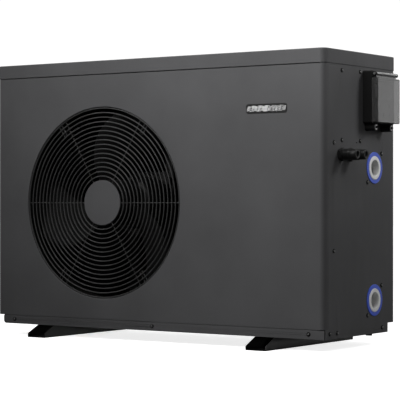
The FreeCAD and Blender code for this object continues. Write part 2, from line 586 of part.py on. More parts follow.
# ---------------------------------------------------------------- evaporator
def evaporator_fins():
    """The finned block, bent into an L round the rear left corner."""
    rear_y0 = COIL_REAR_Y - COIL_T
    left_x1 = COIL_LEFT_X + COIL_T
    block = fuse([
        box(COIL_LEFT_X, COIL_END_X, rear_y0, COIL_REAR_Y, COIL_Z0, COIL_Z1),
        box(COIL_LEFT_X, left_x1, COIL_FRONT_Y, COIL_REAR_Y, COIL_Z0, COIL_Z1),
    ])

    def outer(a, b):
        return along("z")(a, b) and abs(a.x - COIL_LEFT_X) < 1e-3 and abs(a.y - COIL_REAR_Y) < 1e-3

    def inner(a, b):
        return along("z")(a, b) and abs(a.x - left_x1) < 1e-3 and abs(a.y - rear_y0) < 1e-3
    return round_edges(round_edges(block, COIL_T + 20, outer), 20, inner)


def evaporator_end_plates():
    z0, z1 = COIL_Z0 - 2, COIL_Z1 + 2
    rear = box(COIL_END_X, COIL_END_X + SHEET, COIL_REAR_Y - COIL_T, COIL_REAR_Y, z0, z1)
    left = box(COIL_LEFT_X, COIL_LEFT_X + COIL_T, COIL_FRONT_Y - SHEET, COIL_FRONT_Y, z0, z1)
    return group([rear, left])


HEADER_X, HEADER_Y, HEADER_R = 150.0, 102.0, 8.0
HEADER_Z0, HEADER_Z1, FEED_Z = 240.0, 380.0, 210.0


def evaporator_tubes():
    """Return bends at both ends of the block, and the gas header."""
    bends = []
    first, stub = 40, 1.5
    count = int((COIL_Z1 - COIL_Z0 - first) // (2 * TUBE_PITCH))
    for i in range(count):
        z = COIL_Z0 + first + 2 * TUBE_PITCH * i
        for share in TUBE_ROWS:
            rear = (COIL_END_X + SHEET, COIL_REAR_Y - COIL_T * share, z)
            left = (COIL_LEFT_X + COIL_T * share, COIL_FRONT_Y - SHEET, z)
            near_header = HEADER_Z0 - 25 < z < HEADER_Z1 + 25 or abs(z - FEED_Z) < 25
            if not near_header:
                bends.append(u_bend(rear, TUBE_PITCH / 2, TUBE_R, stub, X_AXIS))
            bends.append(u_bend(left, TUBE_PITCH / 2, TUBE_R, stub, Y_AXIS * -1))
    header = rod(HEADER_R, (HEADER_X, HEADER_Y, HEADER_Z0), Z_AXIS, HEADER_Z1 - HEADER_Z0)
    feeders = [rod(TUBE_R, (COIL_END_X + SHEET, HEADER_Y, z), X_AXIS, HEADER_X - COIL_END_X - SHEET)
               for z in (HEADER_Z0 + 15, (HEADER_Z0 + HEADER_Z1) / 2, HEADER_Z1 - 15)]
    return group(bends + [fuse([header] + feeders)])


# ---------------------------------------------------------------- refrigerant circuit
def partition_plate():
    y0, y1 = IN_Y0 + 2.0, COIL_REAR_Y - COIL_T - GAP
    sheet = box(PARTITION_X, PARTITION_X + SHEET, y0, y1, FLOOR_Z, COIL_Z1)
    foot_flange = box(PARTITION_X - 18, PARTITION_X + SHEET, y0 + 8, y1, FLOOR_Z, FLOOR_Z + SHEET)
    return fuse([sheet, foot_flange])


def vessel(x, y, r, z0, z1, rounding):
    body = rod(r, (x, y, z0), Z_AXIS, z1 - z0)
    return body.makeFillet(rounding, end_rims(body, "z"))


COMP_FOOT_R, COMP_FOOT_Z, FOOT_PLATE_T = 72.0, 46.0, 4.0
COMP_ARM_HALF_W, GROMMET_NECK_R = 16.0, 8.8
COMP_FOOT_ANGLES = (-60, 60, 180)
COMP_FEET = [(COMP_X + COMP_FOOT_R * math.cos(math.radians(angle)),
              COMP_Y + COMP_FOOT_R * math.sin(math.radians(angle))) for angle in COMP_FOOT_ANGLES]


def compressor():
    """Welded shell on a three-armed foot plate."""
    shell = vessel(COMP_X, COMP_Y, COMP_R, COMP_Z0, COMP_Z1, 12)
    arms, w = [], COMP_ARM_HALF_W
    for angle, (x, y) in zip(COMP_FOOT_ANGLES, COMP_FEET):
        arm = box(0, COMP_FOOT_R, -w, w, COMP_FOOT_Z, COMP_FOOT_Z + FOOT_PLATE_T)
        arm.rotate(V(0, 0, 0), Z_AXIS, angle)
        arm.translate(V(COMP_X, COMP_Y, 0))
        arms += [arm, rod(w, (x, y, COMP_FOOT_Z), Z_AXIS, FOOT_PLATE_T)]
    holes = group([rod(GROMMET_NECK_R + 0.2, (x, y, COMP_FOOT_Z - 1), Z_AXIS, FOOT_PLATE_T + 2)
                   for x, y in COMP_FEET])
    seat = rod(COMP_R - 14, (COMP_X, COMP_Y, COMP_FOOT_Z), Z_AXIS, COMP_Z0 - COMP_FOOT_Z + 1)
    return fuse([shell, seat] + arms).cut(holes)


def compressor_grommets():
    pads = []
    for x, y in COMP_FEET:
        pad = fuse([
            rod(14, (x, y, FLOOR_Z), Z_AXIS, COMP_FOOT_Z - FLOOR_Z),
            rod(GROMMET_NECK_R, (x, y, COMP_FOOT_Z - 1), Z_AXIS, FOOT_PLATE_T + 2),
            rod(13, (x, y, COMP_FOOT_Z + FOOT_PLATE_T + 0.2), Z_AXIS, 4),
        ])
        pads.append(pad.cut(rod(BOLT_R + 0.1, (x, y, 0), Z_AXIS, 90)))
    return group(pads)


def compressor_bolts():
    top = COMP_FOOT_Z + FOOT_PLATE_T + 4.4
    bolts = []
    for x, y in COMP_FEET:
        bolts.append(fuse([
            rod(BOLT_R, (x, y, FLOOR_Z), Z_AXIS, top + 14 - FLOOR_Z),
            rod(11, (x, y, top), Z_AXIS, 2),
            hex_prism(13, (x, y, top + 2), Z_AXIS, 7),
        ]))
    return group(bolts)


def compressor_terminal_cover():
    x0, x1, y0, y1 = COMP_X - 34, COMP_X - 4, COMP_Y + 2, COMP_Y + 28
    cover = round_edges(box(x0, x1, y0, y1, COMP_Z1, COMP_Z1 + 22), 3, along("z"))
    return cover.cut(box(x0 + 2, x1 - 2, y0 + 2, y1 - 2, COMP_Z1 - 1, COMP_Z1 + 20))


def accumulator():
    body = vessel(ACC_X, ACC_Y, ACC_R, ACC_Z0, ACC_Z1, 12)
    gap0, gap1 = COMP_X + COMP_R, ACC_X - ACC_R
    strap = box(gap0 - 4, gap1 + 4, ACC_Y - 12, ACC_Y + 12, 175, 195)
    strap = strap.cut(rod(COMP_R, (COMP_X, COMP_Y, 100), Z_AXIS, 150))
    elbow_top = ACC_Z0 - 18
    elbow = rod(SUCTION_R, (ACC_X, ACC_Y, elbow_top), Z_AXIS, ACC_Z0 - elbow_top + 13)
    return fuse([body, strap, elbow])


VALVE_X, VALVE_Y, VALVE_Z, VALVE_R, VALVE_HALF_L = 215.0, -70.0, 350.0, 14.0, 50.0
STUB_TOP, STUB_SPACING = VALVE_Z + VALVE_R + 8, 30.0
INLET_DROP, PILOT_OFFSET = 22.0, 34.0             # discharge inlet below, pilot valve in front


def four_way_valve():
    """Reversing valve: a level body, three stubs on top, one below and a pilot in front."""
    stub_r = PIPE_R + 1.5
    body = vessel(0, 0, VALVE_R, -VALVE_HALF_L, VALVE_HALF_L, 5)
    body.rotate(V(0, 0, 0), Y_AXIS, 90)
    body.translate(V(VALVE_X, VALVE_Y, VALVE_Z))
    stubs = [rod(stub_r, (VALVE_X + dx, VALVE_Y, VALVE_Z), Z_AXIS, STUB_TOP - VALVE_Z)
             for dx in (-STUB_SPACING, 0, STUB_SPACING)]
    inlet = rod(stub_r, (VALVE_X, VALVE_Y, VALVE_Z - INLET_DROP), Z_AXIS, INLET_DROP)
    pilot = rod(6, (VALVE_X - 20, VALVE_Y - PILOT_OFFSET, VALVE_Z), X_AXIS, 40)
    arms = [rod(2, (VALVE_X + dx, VALVE_Y - PILOT_OFFSET, VALVE_Z), Y_AXIS, 25) for dx in (-15, 15)]
    return fuse([body, inlet, pilot] + stubs + arms)


def valve_coil():
    length, half_w, half_h = 26.0, 14.0, 15.0
    x0, y = VALVE_X + 20, VALVE_Y - PILOT_OFFSET
    block = box(x0, x0 + length, y - half_w, y + half_w, VALVE_Z - half_h, VALVE_Z + half_h)
    return round_edges(block, 4, along("x"))


def discharge_pipe():
    y, top = VALVE_Y, VALVE_Z - INLET_DROP
    tube = pipe_piece(PIPE_R, PIPE_R - PIPE_WALL, (VALVE_X, y, COMP_Z1), Z_AXIS, top - COMP_Z1)
    muffler = vessel(VALVE_X, y, 10, COMP_Z1 + 8, top - 8, 4)
    return fuse([tube, muffler]).cut(rod(PIPE_R - PIPE_WALL, (VALVE_X, y, COMP_Z1 - 1), Z_AXIS, 60))


def suction_pipe():
    x, top = VALVE_X + STUB_SPACING, 404
    return bent_pipe([(x, VALVE_Y, STUB_TOP), (x, VALVE_Y, top),
                      (ACC_X, ACC_Y, top), (ACC_X, ACC_Y, ACC_Z1)], SUCTION_R, 16)


def gas_pipes():
    """From the four-way valve: one pipe to the heat exchanger, one to the evaporator's header."""
    top, x_end = 426, HX_X - HX_R
    x_drop, z_entry = x_end - 24, HX_COIL_Z0 + COIL_PITCH * COIL_TURNS
    to_exchanger = bent_pipe([(VALVE_X, VALVE_Y, STUB_TOP), (VALVE_X, VALVE_Y, top),
                              (x_drop, PORT_Y, top), (x_drop, PORT_Y, z_entry),
                              (x_end, PORT_Y, z_entry)], PIPE_R, 14)
    x, level = VALVE_X - STUB_SPACING, 412
    to_header = bent_pipe([(x, VALVE_Y, STUB_TOP), (x, VALVE_Y, level),
                           (HEADER_X, HEADER_Y, level), (HEADER_X, HEADER_Y, HEADER_Z1)],
                          PIPE_R, 14)
    return group([to_exchanger, to_header])


EXP_X, EXP_Z0, EXP_Z1 = 175.0, 130.0, 180.0


def expansion_valve():
    body = vessel(EXP_X, PORT_Y, 12, EXP_Z0, EXP_Z1, 3)
    return fuse([body, hex_prism(26, (EXP_X, PORT_Y, EXP_Z0 + 12), Z_AXIS, 12),
                 rod(9, (EXP_X, PORT_Y, EXP_Z0 + 36), Y_AXIS * -1, 30)])


def liquid_pipe():
    """Liquid line from the heat exchanger, and from the valve on to the evaporator's feed."""
    low = bent_pipe([(HX_X - HX_R, PORT_Y, HX_COIL_Z0), (EXP_X, PORT_Y, HX_COIL_Z0),
                     (EXP_X, PORT_Y, EXP_Z0)], PIPE_R, 14)
    feed = bent_pipe([(EXP_X, PORT_Y, EXP_Z1), (EXP_X, PORT_Y, FEED_Z),
                      (EXP_X - 14, HEADER_Y, FEED_Z), (COIL_END_X + SHEET, HEADER_Y, FEED_Z)],
                     PIPE_R, 12)
    return group([low, feed])


# ---------------------------------------------------------------- water side
def heat_exchanger_shell():
    outer = vessel(HX_X, PORT_Y, HX_R, HX_Z0, HX_Z1, 14)
    inner = vessel(HX_X, PORT_Y, HX_R - HX_WALL, HX_Z0 + HX_WALL, HX_Z1 - HX_WALL, 10)
    holes = [rod(THROAT_R, (HX_X, PORT_Y, z), X_AXIS, HX_R + 10) for z in PORT_ZS]
    leg_half, leg_dx, leg_dy = 9.0, 44.0, 24.0
    legs = []
    for x in (HX_X - leg_dx, HX_X + leg_dx):
        for y in (PORT_Y - leg_dy, PORT_Y + leg_dy):
            legs.append(box(x - leg_half, x + leg_half, y - leg_half, y + leg_half,
                            FLOOR_Z, HX_Z0 + 16))
    return fuse([outer] + legs).cut(inner).cut(group(holes))


def titanium_coil():
    """Titanium tube wound as a helix, with its two ends turned out to the shell wall."""
    foot = V(HX_X, PORT_Y, HX_COIL_Z0)
    helix = Part.makeHelix(COIL_PITCH, COIL_PITCH * COIL_TURNS, COIL_HELIX_R)
    helix.translate(foot)
    helix.rotate(foot, Z_AXIS, 180)
    path = Part.Wire(helix.Edges)
    start = path.OrderedVertexes[0].Point
    tangent = path.OrderedEdges[0].tangentAt(path.OrderedEdges[0].FirstParameter)
    profile = Part.Wire([Part.makeCircle(COIL_TUBE_R, start, tangent)])
    coil = path.makePipeShell([profile], True, True)
    reach = HX_R - HX_WALL - COIL_HELIX_R - 0.5
    ends = [rod(COIL_TUBE_R - 1, (HX_X - COIL_HELIX_R, PORT_Y, z), X_AXIS * -1, reach)
            for z in (HX_COIL_Z0, HX_COIL_Z0 + COIL_PITCH * COIL_TURNS)]
    return fuse([coil] + ends)


def water_socket(z):
    """Pipe socket welded to the exchanger, with a collar just inside the panel."""
    start, end = HX_X + HX_R - 20, PANEL_X1 + 1.8
    collar_w, collar_l = 6.0, 8.0
    tube = rod(SOCKET_R, (start, PORT_Y, z), X_AXIS, end - start)
    tube = tube.makeFillet(1.5, end_rims(tube, "x", end))
    collar = rod(SOCKET_R + collar_w, (IN_X1 - 12, PORT_Y, z), X_AXIS, collar_l)
    tube = fuse([tube, collar]).cut(rod(THROAT_R, (HX_X, PORT_Y, z), X_AXIS, 200))
    tube = tube.cut(rod(PORT_BORE_R, (end - SOCKET_DEPTH, PORT_Y, z), X_AXIS, 50))
    return tube.cut(rod(HX_R, (HX_X, PORT_Y, z - 60), Z_AXIS, 120))


FLOW_X, FLOW_PIVOT_DZ = 398.0, 21.5               # flow switch, and its pivot above the port's axis
FLOW_HOLE_R, PIVOT_R, PADDLE_HALF_T = 6.6, 0.9, 0.8


def water_sockets():
    """Upper outlet socket, and lower inlet socket with the flow switch's hole in its top."""
    upper, lower = PORT_ZS
    switch_hole = rod(FLOW_HOLE_R, (FLOW_X, PORT_Y, lower), Z_AXIS, 40)
    return group([water_socket(upper), water_socket(lower).cut(switch_hole)])


def port_rings():
    """Blue trim rings round the two sockets."""
    x0, x1 = IN_X1 - 3, PANEL_X1 + 1.2
    rings = []
    for z in PORT_ZS:
        rim = rod(PORT_RING_R, (x0, PORT_Y, z), X_AXIS, x1 - x0)
        rim = rim.makeFillet(1.0, end_rims(rim, "x", x1))
        rings.append(rim.cut(rod(SOCKET_R + 0.2, (IN_X1 - 10, PORT_Y, z), X_AXIS, 30)))
    return group(rings)


def flow_switch():
    """Switch body seated on the lower socket, with a fork and a pin for the paddle."""
    body_r, body_h, head_half_w, head_half_l, head_h = 14.0, 44.0, 14.0, 22.0, 29.0
    fork_half, slot_half = 5.9, 3.5
    z = PORT_ZS[1]
    low, fork_top = z + SOCKET_R - 8, z + SOCKET_R + 4
    body = rod(body_r, (FLOW_X, PORT_Y, low), Z_AXIS, body_h)
    body = body.cut(rod(SOCKET_R, (FLOW_X - 30, PORT_Y, z), X_AXIS, 60))
    body = body.cut(rod(FLOW_HOLE_R, (FLOW_X, PORT_Y, z), Z_AXIS, SOCKET_R + 4))
    head_z = low + body_h - 1
    head = round_edges(box(FLOW_X - head_half_w, FLOW_X + head_half_w, PORT_Y - head_half_l,
                           PORT_Y + head_half_l, head_z, head_z + head_h), 4, along("z"))
    stem = box(FLOW_X - 0.9, FLOW_X + 0.9, PORT_Y - fork_half, PORT_Y + fork_half,
               z + FLOW_PIVOT_DZ, fork_top)
    fork = stem.cut(box(FLOW_X - 2, FLOW_X + 2, PORT_Y - slot_half, PORT_Y + slot_half,
                        z, fork_top - 2))
    pivot = rod(PIVOT_R, (FLOW_X, PORT_Y - fork_half, z + FLOW_PIVOT_DZ), Y_AXIS, 2 * fork_half)
    return fuse([body, head, fork, pivot])


def flow_paddle():
    """Paddle that hangs in the inlet tube from the flow switch's pivot."""
    hub_r, hub_half, stem_half = 2.6, 3.0, 2.5
    plate_half, plate_down, plate_up = 8.0, 13.0, 4.0
    z, t = PORT_ZS[1], PADDLE_HALF_T
    pivot_z = z + FLOW_PIVOT_DZ
    hub = rod(hub_r, (FLOW_X, PORT_Y - hub_half, pivot_z), Y_AXIS, 2 * hub_half)
    stem = box(FLOW_X - t, FLOW_X + t, PORT_Y - stem_half, PORT_Y + stem_half, z, pivot_z)
    plate = box(FLOW_X - t, FLOW_X + t, PORT_Y - plate_half, PORT_Y + plate_half,
                z - plate_down, z + plate_up)
    bore = rod(PIVOT_R + PIN_PLAY, (FLOW_X, PORT_Y - 9, pivot_z), Y_AXIS, 18)
    return fuse([hub, stem, plate]).cut(bore)


# ---------------------------------------------------------------- electrical parts
EB_X0, EB_X1, EB_Y0, EB_Y1, EB_Z0, EB_Z1 = 125.0, 425.0, -128.0, 50.0, 446.0, 590.0


def electrical_box():
    """Open-topped sheet box hung from the partition, with two cable holes in its floor."""
    hole_r, hang_z = 10.0, EB_Z1 - 12
    outer = box(EB_X0, EB_X1, EB_Y0, EB_Y1, EB_Z0, EB_Z1)
    inner = box(EB_X0 + SHEET, EB_X1 - SHEET, EB_Y0 + SHEET, EB_Y1 - SHEET, EB_Z0 + SHEET, EB_Z1 + 1)
    entries = [rod(hole_r, (EB_X1 - 22, y, EB_Z0 - 1), Z_AXIS, 4) for y in GLAND_YS]
    hanger = box(PARTITION_X + SHEET, EB_X0 + SHEET / 2, EB_Y0 + 20, EB_Y1 - 20,
                 hang_z, hang_z + SHEET)
    return fuse([outer.cut(inner), hanger]).cut(group(entries))


def electrical_box_lid():
    """Flat lid with a rim that drops inside the box."""
    overlap, rim_gap, rim_h = 1.0, 1.6, 8.0

    def level(inset, z0, z1):
        return box(EB_X0 + inset, EB_X1 - inset, EB_Y0 + inset, EB_Y1 - inset, z0, z1)
    top = level(-overlap, EB_Z1, EB_Z1 + SHEET)
    rim = level(rim_gap, EB_Z1 - rim_h, EB_Z1 + 0.5).cut(
        level(rim_gap + SHEET, EB_Z1 - rim_h - 1, EB_Z1 + 1))
    return fuse([top, rim])


def control_board():
    """Circuit board on four posts, with relays, plugs, two capacitors and a transformer."""
    floor, post_h, board_t = EB_Z0 + SHEET, 8.0, 1.6
    z = floor + post_h
    x0, x1, y0, y1 = EB_X0 + 12, EB_X0 + 182, EB_Y0 + 14, EB_Y1 - 16
    parts = [box(x0, x1, y0, y1, z, z + board_t)]
    for x in (x0 + 6, x1 - 6):
        for y in (y0 + 6, y1 - 6):
            parts.append(rod(3, (x, y, floor), Z_AXIS, post_h + 0.5))
    low = z + board_t - 0.6
    for i in range(4):
        x = x0 + 18 + 26 * i
        parts.append(box(x, x + 20, y1 - 34, y1 - 18, low, low + 16))
    for i in range(6):
        x = x0 + 16 + 24 * i
        parts.append(box(x, x + 18, y0 + 6, y0 + 14, low, low + 9))
    for i in range(2):
        parts.append(rod(8, (x0 + 28 + 24 * i, -40, low), Z_AXIS, 26))
    parts.append(box(x0 + 98, x0 + 138, -60, -24, low, low + 31))
    return fuse(parts)


def run_capacitor():
    """Drawn can with two spade tabs."""
    can_r, can_h, tab_half_w, tab_half_t = 22.0, 96.0, 3.0, 0.5
    x, y, z = EB_X0 + 212, EB_Y1 - 40, EB_Z0 + SHEET
    parts = [vessel(x, y, can_r, z, z + can_h, 3)]
    for tab_x in (x - 8, x + 8):
        parts.append(box(tab_x - tab_half_w, tab_x + tab_half_w, y - tab_half_t, y + tab_half_t,
                         z + can_h - 1, z + can_h + 10))
    return fuse(parts)


def terminal_block():
    """Moulded block with six open bays."""
    width, length, height, pitch = 26.0, 100.0, 22.0, 16.0
    x0, y0, z = EB_X1 - 62, EB_Y0 + 20, EB_Z0 + SHEET
    body = box(x0, x0 + width, y0, y0 + length, z, z + height)
    bays = [box(x0 + 5, x0 + width - 5, y0 + 4 + pitch * i, y0 + pitch * (i + 1),
                z + 12, z + height + 8) for i in range(6)]
    return body.cut(group(bays))


# ---------------------------------------------------------------- cable glands
def gland_bodies():
    """Threaded bodies: hexagon outside the panel, thread through it, neck for the cap."""
    hex_l, seal_r, seal_t, neck_l = 7.0, 13.4, 2.0, 17.0
    bodies = []
    for y in GLAND_YS:
        body = fuse([
            hex_prism(GLAND_HEX, (PANEL_X1, y, GLAND_Z), X_AXIS, hex_l),
            rod(seal_r, (PANEL_X1, y, GLAND_Z), X_AXIS, seal_t),
            rod(GLAND_THREAD_R, (IN_X1 - 11, y, GLAND_Z), X_AXIS, PANEL_X1 - IN_X1 + 12),
            rod(GLAND_NECK_R, (PANEL_X1 + hex_l - 1, y, GLAND_Z), X_AXIS, neck_l + 1),
        ])
        bodies.append(body.cut(rod(GLAND_BORE_R, (IN_X1 - 20, y, GLAND_Z), X_AXIS, 80)))
    return group(bodies)


def gland_caps():
    """Domed sealing nuts screwed on the gland bodies."""
    skirt_l, dome_edge_r, socket_l = 15.0, 4.0, 17.6
    x0, x1 = PANEL_X1 + 7.4, PANEL_X1 + GLAND_LEN
    caps = []
    for y in GLAND_YS:
        skirt = hex_prism(GLAND_CAP_HEX, (x0, y, GLAND_Z), X_AXIS, skirt_l)
        dome = rod(GLAND_DOME_R, (x0, y, GLAND_Z), X_AXIS, x1 - x0)
        dome = dome.makeFillet(dome_edge_r, end_rims(dome, "x", x1))
        socket = rod(GLAND_NECK_R + 0.1, (x0 - 1, y, GLAND_Z), X_AXIS, socket_l + 1)
        bore = rod(GLAND_BORE_R, (x0 - 1, y, GLAND_Z), X_AXIS, 60)
        caps.append(fuse([skirt, dome]).cut(socket).cut(bore))
    return group(caps)


def gland_locknuts():
    nuts = []
    for y in GLAND_YS:
        nut = hex_prism(27, (IN_X1 - 5, y, GLAND_Z), X_AXIS, 5)
        nuts.append(nut.cut(rod(GLAND_THREAD_R, (IN_X1 - 10, y, GLAND_Z), X_AXIS, 20)))
    return group(nuts)


# ---------------------------------------------------------------- control box
BUTTONS = {"button_power": (BOX_YC, 496.0), "button_mode": (BOX_YC - 26, 516.0),
           "button_up": (BOX_YC + 26, 516.0), "button_down": (BOX_YC + 26, 496.0)}
MODULE_X1 = BOX_FACE_X + 1.5
LUG_YS, LUG_Z, LUG_R = (BOX_YC - 34, BOX_YC + 34), BOX_Z0 - 8, 8.0
LUG_SCREW_R = 3.0


def control_base():
    """Black back box: open front, two lugs below, and a hinge ear at each end of the top."""
    wall, ear_w = 4.0, 4.0
    shell = box(PANEL_X1, BOX_FACE_X, BOX_Y0, BOX_Y1, BOX_Z0, BOX_Z1)
    shell = round_edges(shell, 4, along("x"))
    cavity = box(PANEL_X1 + 3, BOX_FACE_X + 1, BOX_Y0 + wall, BOX_Y1 - wall,
                 BOX_Z0 + wall, COVER_Z1 - 3)
    outside = []
    for y in LUG_YS:
        outside += [box(PANEL_X1, BOX_FACE_X, y - LUG_R, y + LUG_R, LUG_Z, BOX_Z0 + 1),
                    rod(LUG_R, (PANEL_X1, y, LUG_Z), X_AXIS, BOX_FACE_X + 2 - PANEL_X1)]
    for y0 in (BOX_Y0 + 1, BOX_Y1 - 1 - ear_w):
        outside += [box(BOX_FACE_X - 1, HINGE_X, y0, y0 + ear_w, HINGE_Z - BARREL_R, HINGE_Z + BARREL_R),
                    rod(BARREL_R, (HINGE_X, y0, HINGE_Z), Y_AXIS, ear_w)]
    screw_holes = [rod(LUG_SCREW_R + 0.2, (BOX_FACE_X - 4, y, LUG_Z), X_AXIS, 10) for y in LUG_YS]
    pin_hole = rod(PIN_R, (HINGE_X, BOX_Y0 - 5, HINGE_Z), Y_AXIS, 120)
    cable = rod(CONTROL_CABLE_R, (PANEL_X1 - 1, BOX_YC, CONTROL_CABLE_Z), X_AXIS, 8)
    return fuse([shell] + outside).cut(cavity).cut(group(screw_holes + [pin_hole, cable]))


def control_box_screws():
    """The two fixing screws in the control box's lower lugs, with wide washers."""
    washer_r, washer_t, head_r, head_h, slot_d = 6.4, 1.0, 4.2, 2.2, 1.2
    face = BOX_FACE_X + 2
    head_x = face + washer_t + head_h
    screws = []
    for y in LUG_YS:
        washer = pipe_piece(washer_r, LUG_SCREW_R, (face, y, LUG_Z), X_AXIS, washer_t)
        shank = rod(LUG_SCREW_R, (BOX_FACE_X - 3.5, y, LUG_Z), X_AXIS, 6.6)
        head = rod(head_r, (face + washer_t, y, LUG_Z), X_AXIS, head_h)
        slot = box(head_x - slot_d, head_x + 1, y - head_r - 1, y + head_r + 1, LUG_Z - 0.6, LUG_Z + 0.6)
        screws.append(fuse([washer, shank, head]).cut(slot))
    return screws


MODULE_Y0, MODULE_Y1 = BOX_Y0 + 5, BOX_Y1 - 5
MODULE_Z0, MODULE_Z1 = BOX_Z0 + 5, COVER_Z1 - 4
WINDOW_Y0, WINDOW_Y1, WINDOW_Z1 = MODULE_Y0 + 8, MODULE_Y1 - 8, MODULE_Z1 - 5


def display_module():
    """The controller: a black housing with a window recess and four button holes."""
    wall = 2.0
    body = box(PANEL_X1 + 5, MODULE_X1, MODULE_Y0, MODULE_Y1, MODULE_Z0, MODULE_Z1)
    inside = box(PANEL_X1 + 5 + wall, MODULE_X1 - wall, MODULE_Y0 + wall, MODULE_Y1 - wall,
                 MODULE_Z0 + wall, MODULE_Z1 - wall)
    window = box(MODULE_X1 - WINDOW_T, MODULE_X1 + 1, WINDOW_Y0, WINDOW_Y1, WINDOW_Z0, WINDOW_Z1)
    holes = [rod(BUTTON_R + BUTTON_PLAY, (MODULE_X1 - 5, y, z), X_AXIS, 8)
             for y, z in BUTTONS.values()]
    return body.cut(inside).cut(window).cut(group(holes))


def display_lens():
    fit = WINDOW_FIT
    return box(MODULE_X1 - WINDOW_T, MODULE_X1, WINDOW_Y0 + fit, WINDOW_Y1 - fit,
               WINDOW_Z0 + fit, WINDOW_Z1 - fit)


def button(name):
    """A button cap that stands proud of the controller, on a flange that holds it in."""
    depth, proud, flange_w, flange_t = 3.5, 1.5, 1.2, 1.1
    y, z = BUTTONS[name]
    cap = rod(BUTTON_R, (MODULE_X1 - depth, y, z), X_AXIS, depth + proud)
    cap = cap.makeFillet(0.8, end_rims(cap, "x", MODULE_X1 + proud))
    flange = rod(BUTTON_R + flange_w, (MODULE_X1 - depth, y, z), X_AXIS, flange_t)
    return fuse([cap, flange])


def hinge_pin():
    pin = rod(PIN_R, (HINGE_X, BOX_Y0 + 0.4, HINGE_Z), Y_AXIS, BOX_Y1 - BOX_Y0 - 0.8)
    head = rod(2.6, (HINGE_X, BOX_Y0 - 0.8, HINGE_Z), Y_AXIS, 1.8)
    return fuse([pin, head])


def flip_cover():
    """Clear smoked cover, hung on a barrel along its top edge by a thin web."""
    end_gap, web_half_t = 5.5, 1.5
    x0, y0, y1 = BOX_FACE_X + 0.4, BOX_Y0 + 0.4, BOX_Y1 - 0.4
    outer = round_edges(box(x0, COVER_FACE_X, y0, y1, COVER_Z0, COVER_Z1), 3.5, along("x"))
    outer = outer.makeFillet(1.5, end_rims(outer, "x", COVER_FACE_X))
    inner = box(x0 - 1, COVER_FACE_X - COVER_WALL, y0 + COVER_WALL, y1 - COVER_WALL,
                COVER_Z0 + COVER_WALL, COVER_Z1 - COVER_WALL)
    barrel_y0, barrel_y1 = BOX_Y0 + end_gap, BOX_Y1 - end_gap
    barrel = rod(BARREL_R, (HINGE_X, barrel_y0, HINGE_Z), Y_AXIS, barrel_y1 - barrel_y0)
    web = box(HINGE_X - web_half_t, HINGE_X + web_half_t, barrel_y0, barrel_y1, COVER_Z1 - 2, HINGE_Z)
    bore = rod(PIN_R + PIN_PLAY, (HINGE_X, BOX_Y0, HINGE_Z), Y_AXIS, 100)
    return fuse([outer.cut(inner), barrel, web]).cut(bore)


# ---------------------------------------------------------------- every node
NODES = {
    "base_tray": base_tray,
    "foot_left": lambda: foot(-1),
    "foot_right": lambda: foot(1),
    "drain_nipple": drain_nipple,
    "front_panel": front_panel,
    "top_cover": top_cover,
    "right_side_panel": right_side_panel,
    "left_side_panel": left_side_panel,
    "rear_panel": rear_panel,
    "rear_coil_guard": rear_coil_guard,
    "badge_plate": badge_plate,
    "casing_screws": casing_screws,
    "fan_guard": fan_guard,
    "guard_hub_disc": guard_hub_disc,
    "guard_clips": guard_clips,
    "fan_orifice": fan_orifice,
    "fan_impeller": fan_impeller,
    "fan_shaft": fan_shaft,
    "fan_nut": fan_nut,
    "fan_motor": fan_motor,
    "motor_bracket": motor_bracket,
    "evaporator_fins": evaporator_fins,
    "evaporator_end_plates": evaporator_end_plates,
    "evaporator_tubes": evaporator_tubes,
    "partition_plate": partition_plate,
    "compressor": compressor,
    "compressor_grommets": compressor_grommets,
    "compressor_bolts": compressor_bolts,
    "compressor_terminal_cover": compressor_terminal_cover,
    "accumulator": accumulator,
    "four_way_valve": four_way_valve,
    "valve_coil": valve_coil,
    "discharge_pipe": discharge_pipe,
    "suction_pipe": suction_pipe,
    "gas_pipes": gas_pipes,
    "expansion_valve": expansion_valve,
    "liquid_pipe": liquid_pipe,
    "heat_exchanger_shell": heat_exchanger_shell,
    "titanium_coil": titanium_coil,
    "water_sockets": water_sockets,
    "port_rings": port_rings,
    "flow_switch": flow_switch,
    "flow_paddle": flow_paddle,
    "electrical_box": electrical_box,
    "electrical_box_lid": electrical_box_lid,
    "control_board": control_board,
    "run_capacitor": run_capacitor,
    "terminal_block": terminal_block,
    "gland_bodies": gland_bodies,
    "gland_caps": gland_caps,
    "gland_locknuts": gland_locknuts,
    "control_base": control_base,
    "display_module": display_module,
    "display_lens": display_lens,
    "flip_cover": flip_cover,
    "hinge_pin": hinge_pin,
}
for button_name in BUTTONS:
    NODES[button_name] = lambda name=button_name: button(name)


def main():
    os.makedirs("parts", exist_ok=True)
    for name, make in NODES.items():
        shape = make()
        if not shape.isValid():
            print("not valid:", name)
        shape.exportStep(f"parts/{name}.step")
    print(len(NODES), "nodes written")


main()
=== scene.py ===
"""Looks of the swimming-pool heat pump unit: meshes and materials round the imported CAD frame.

Metres, +Z up, +X towards the service side, the fan side faces -Y.
"""
import json
import math

import bmesh
import bpy
from mathutils import Matrix, Vector

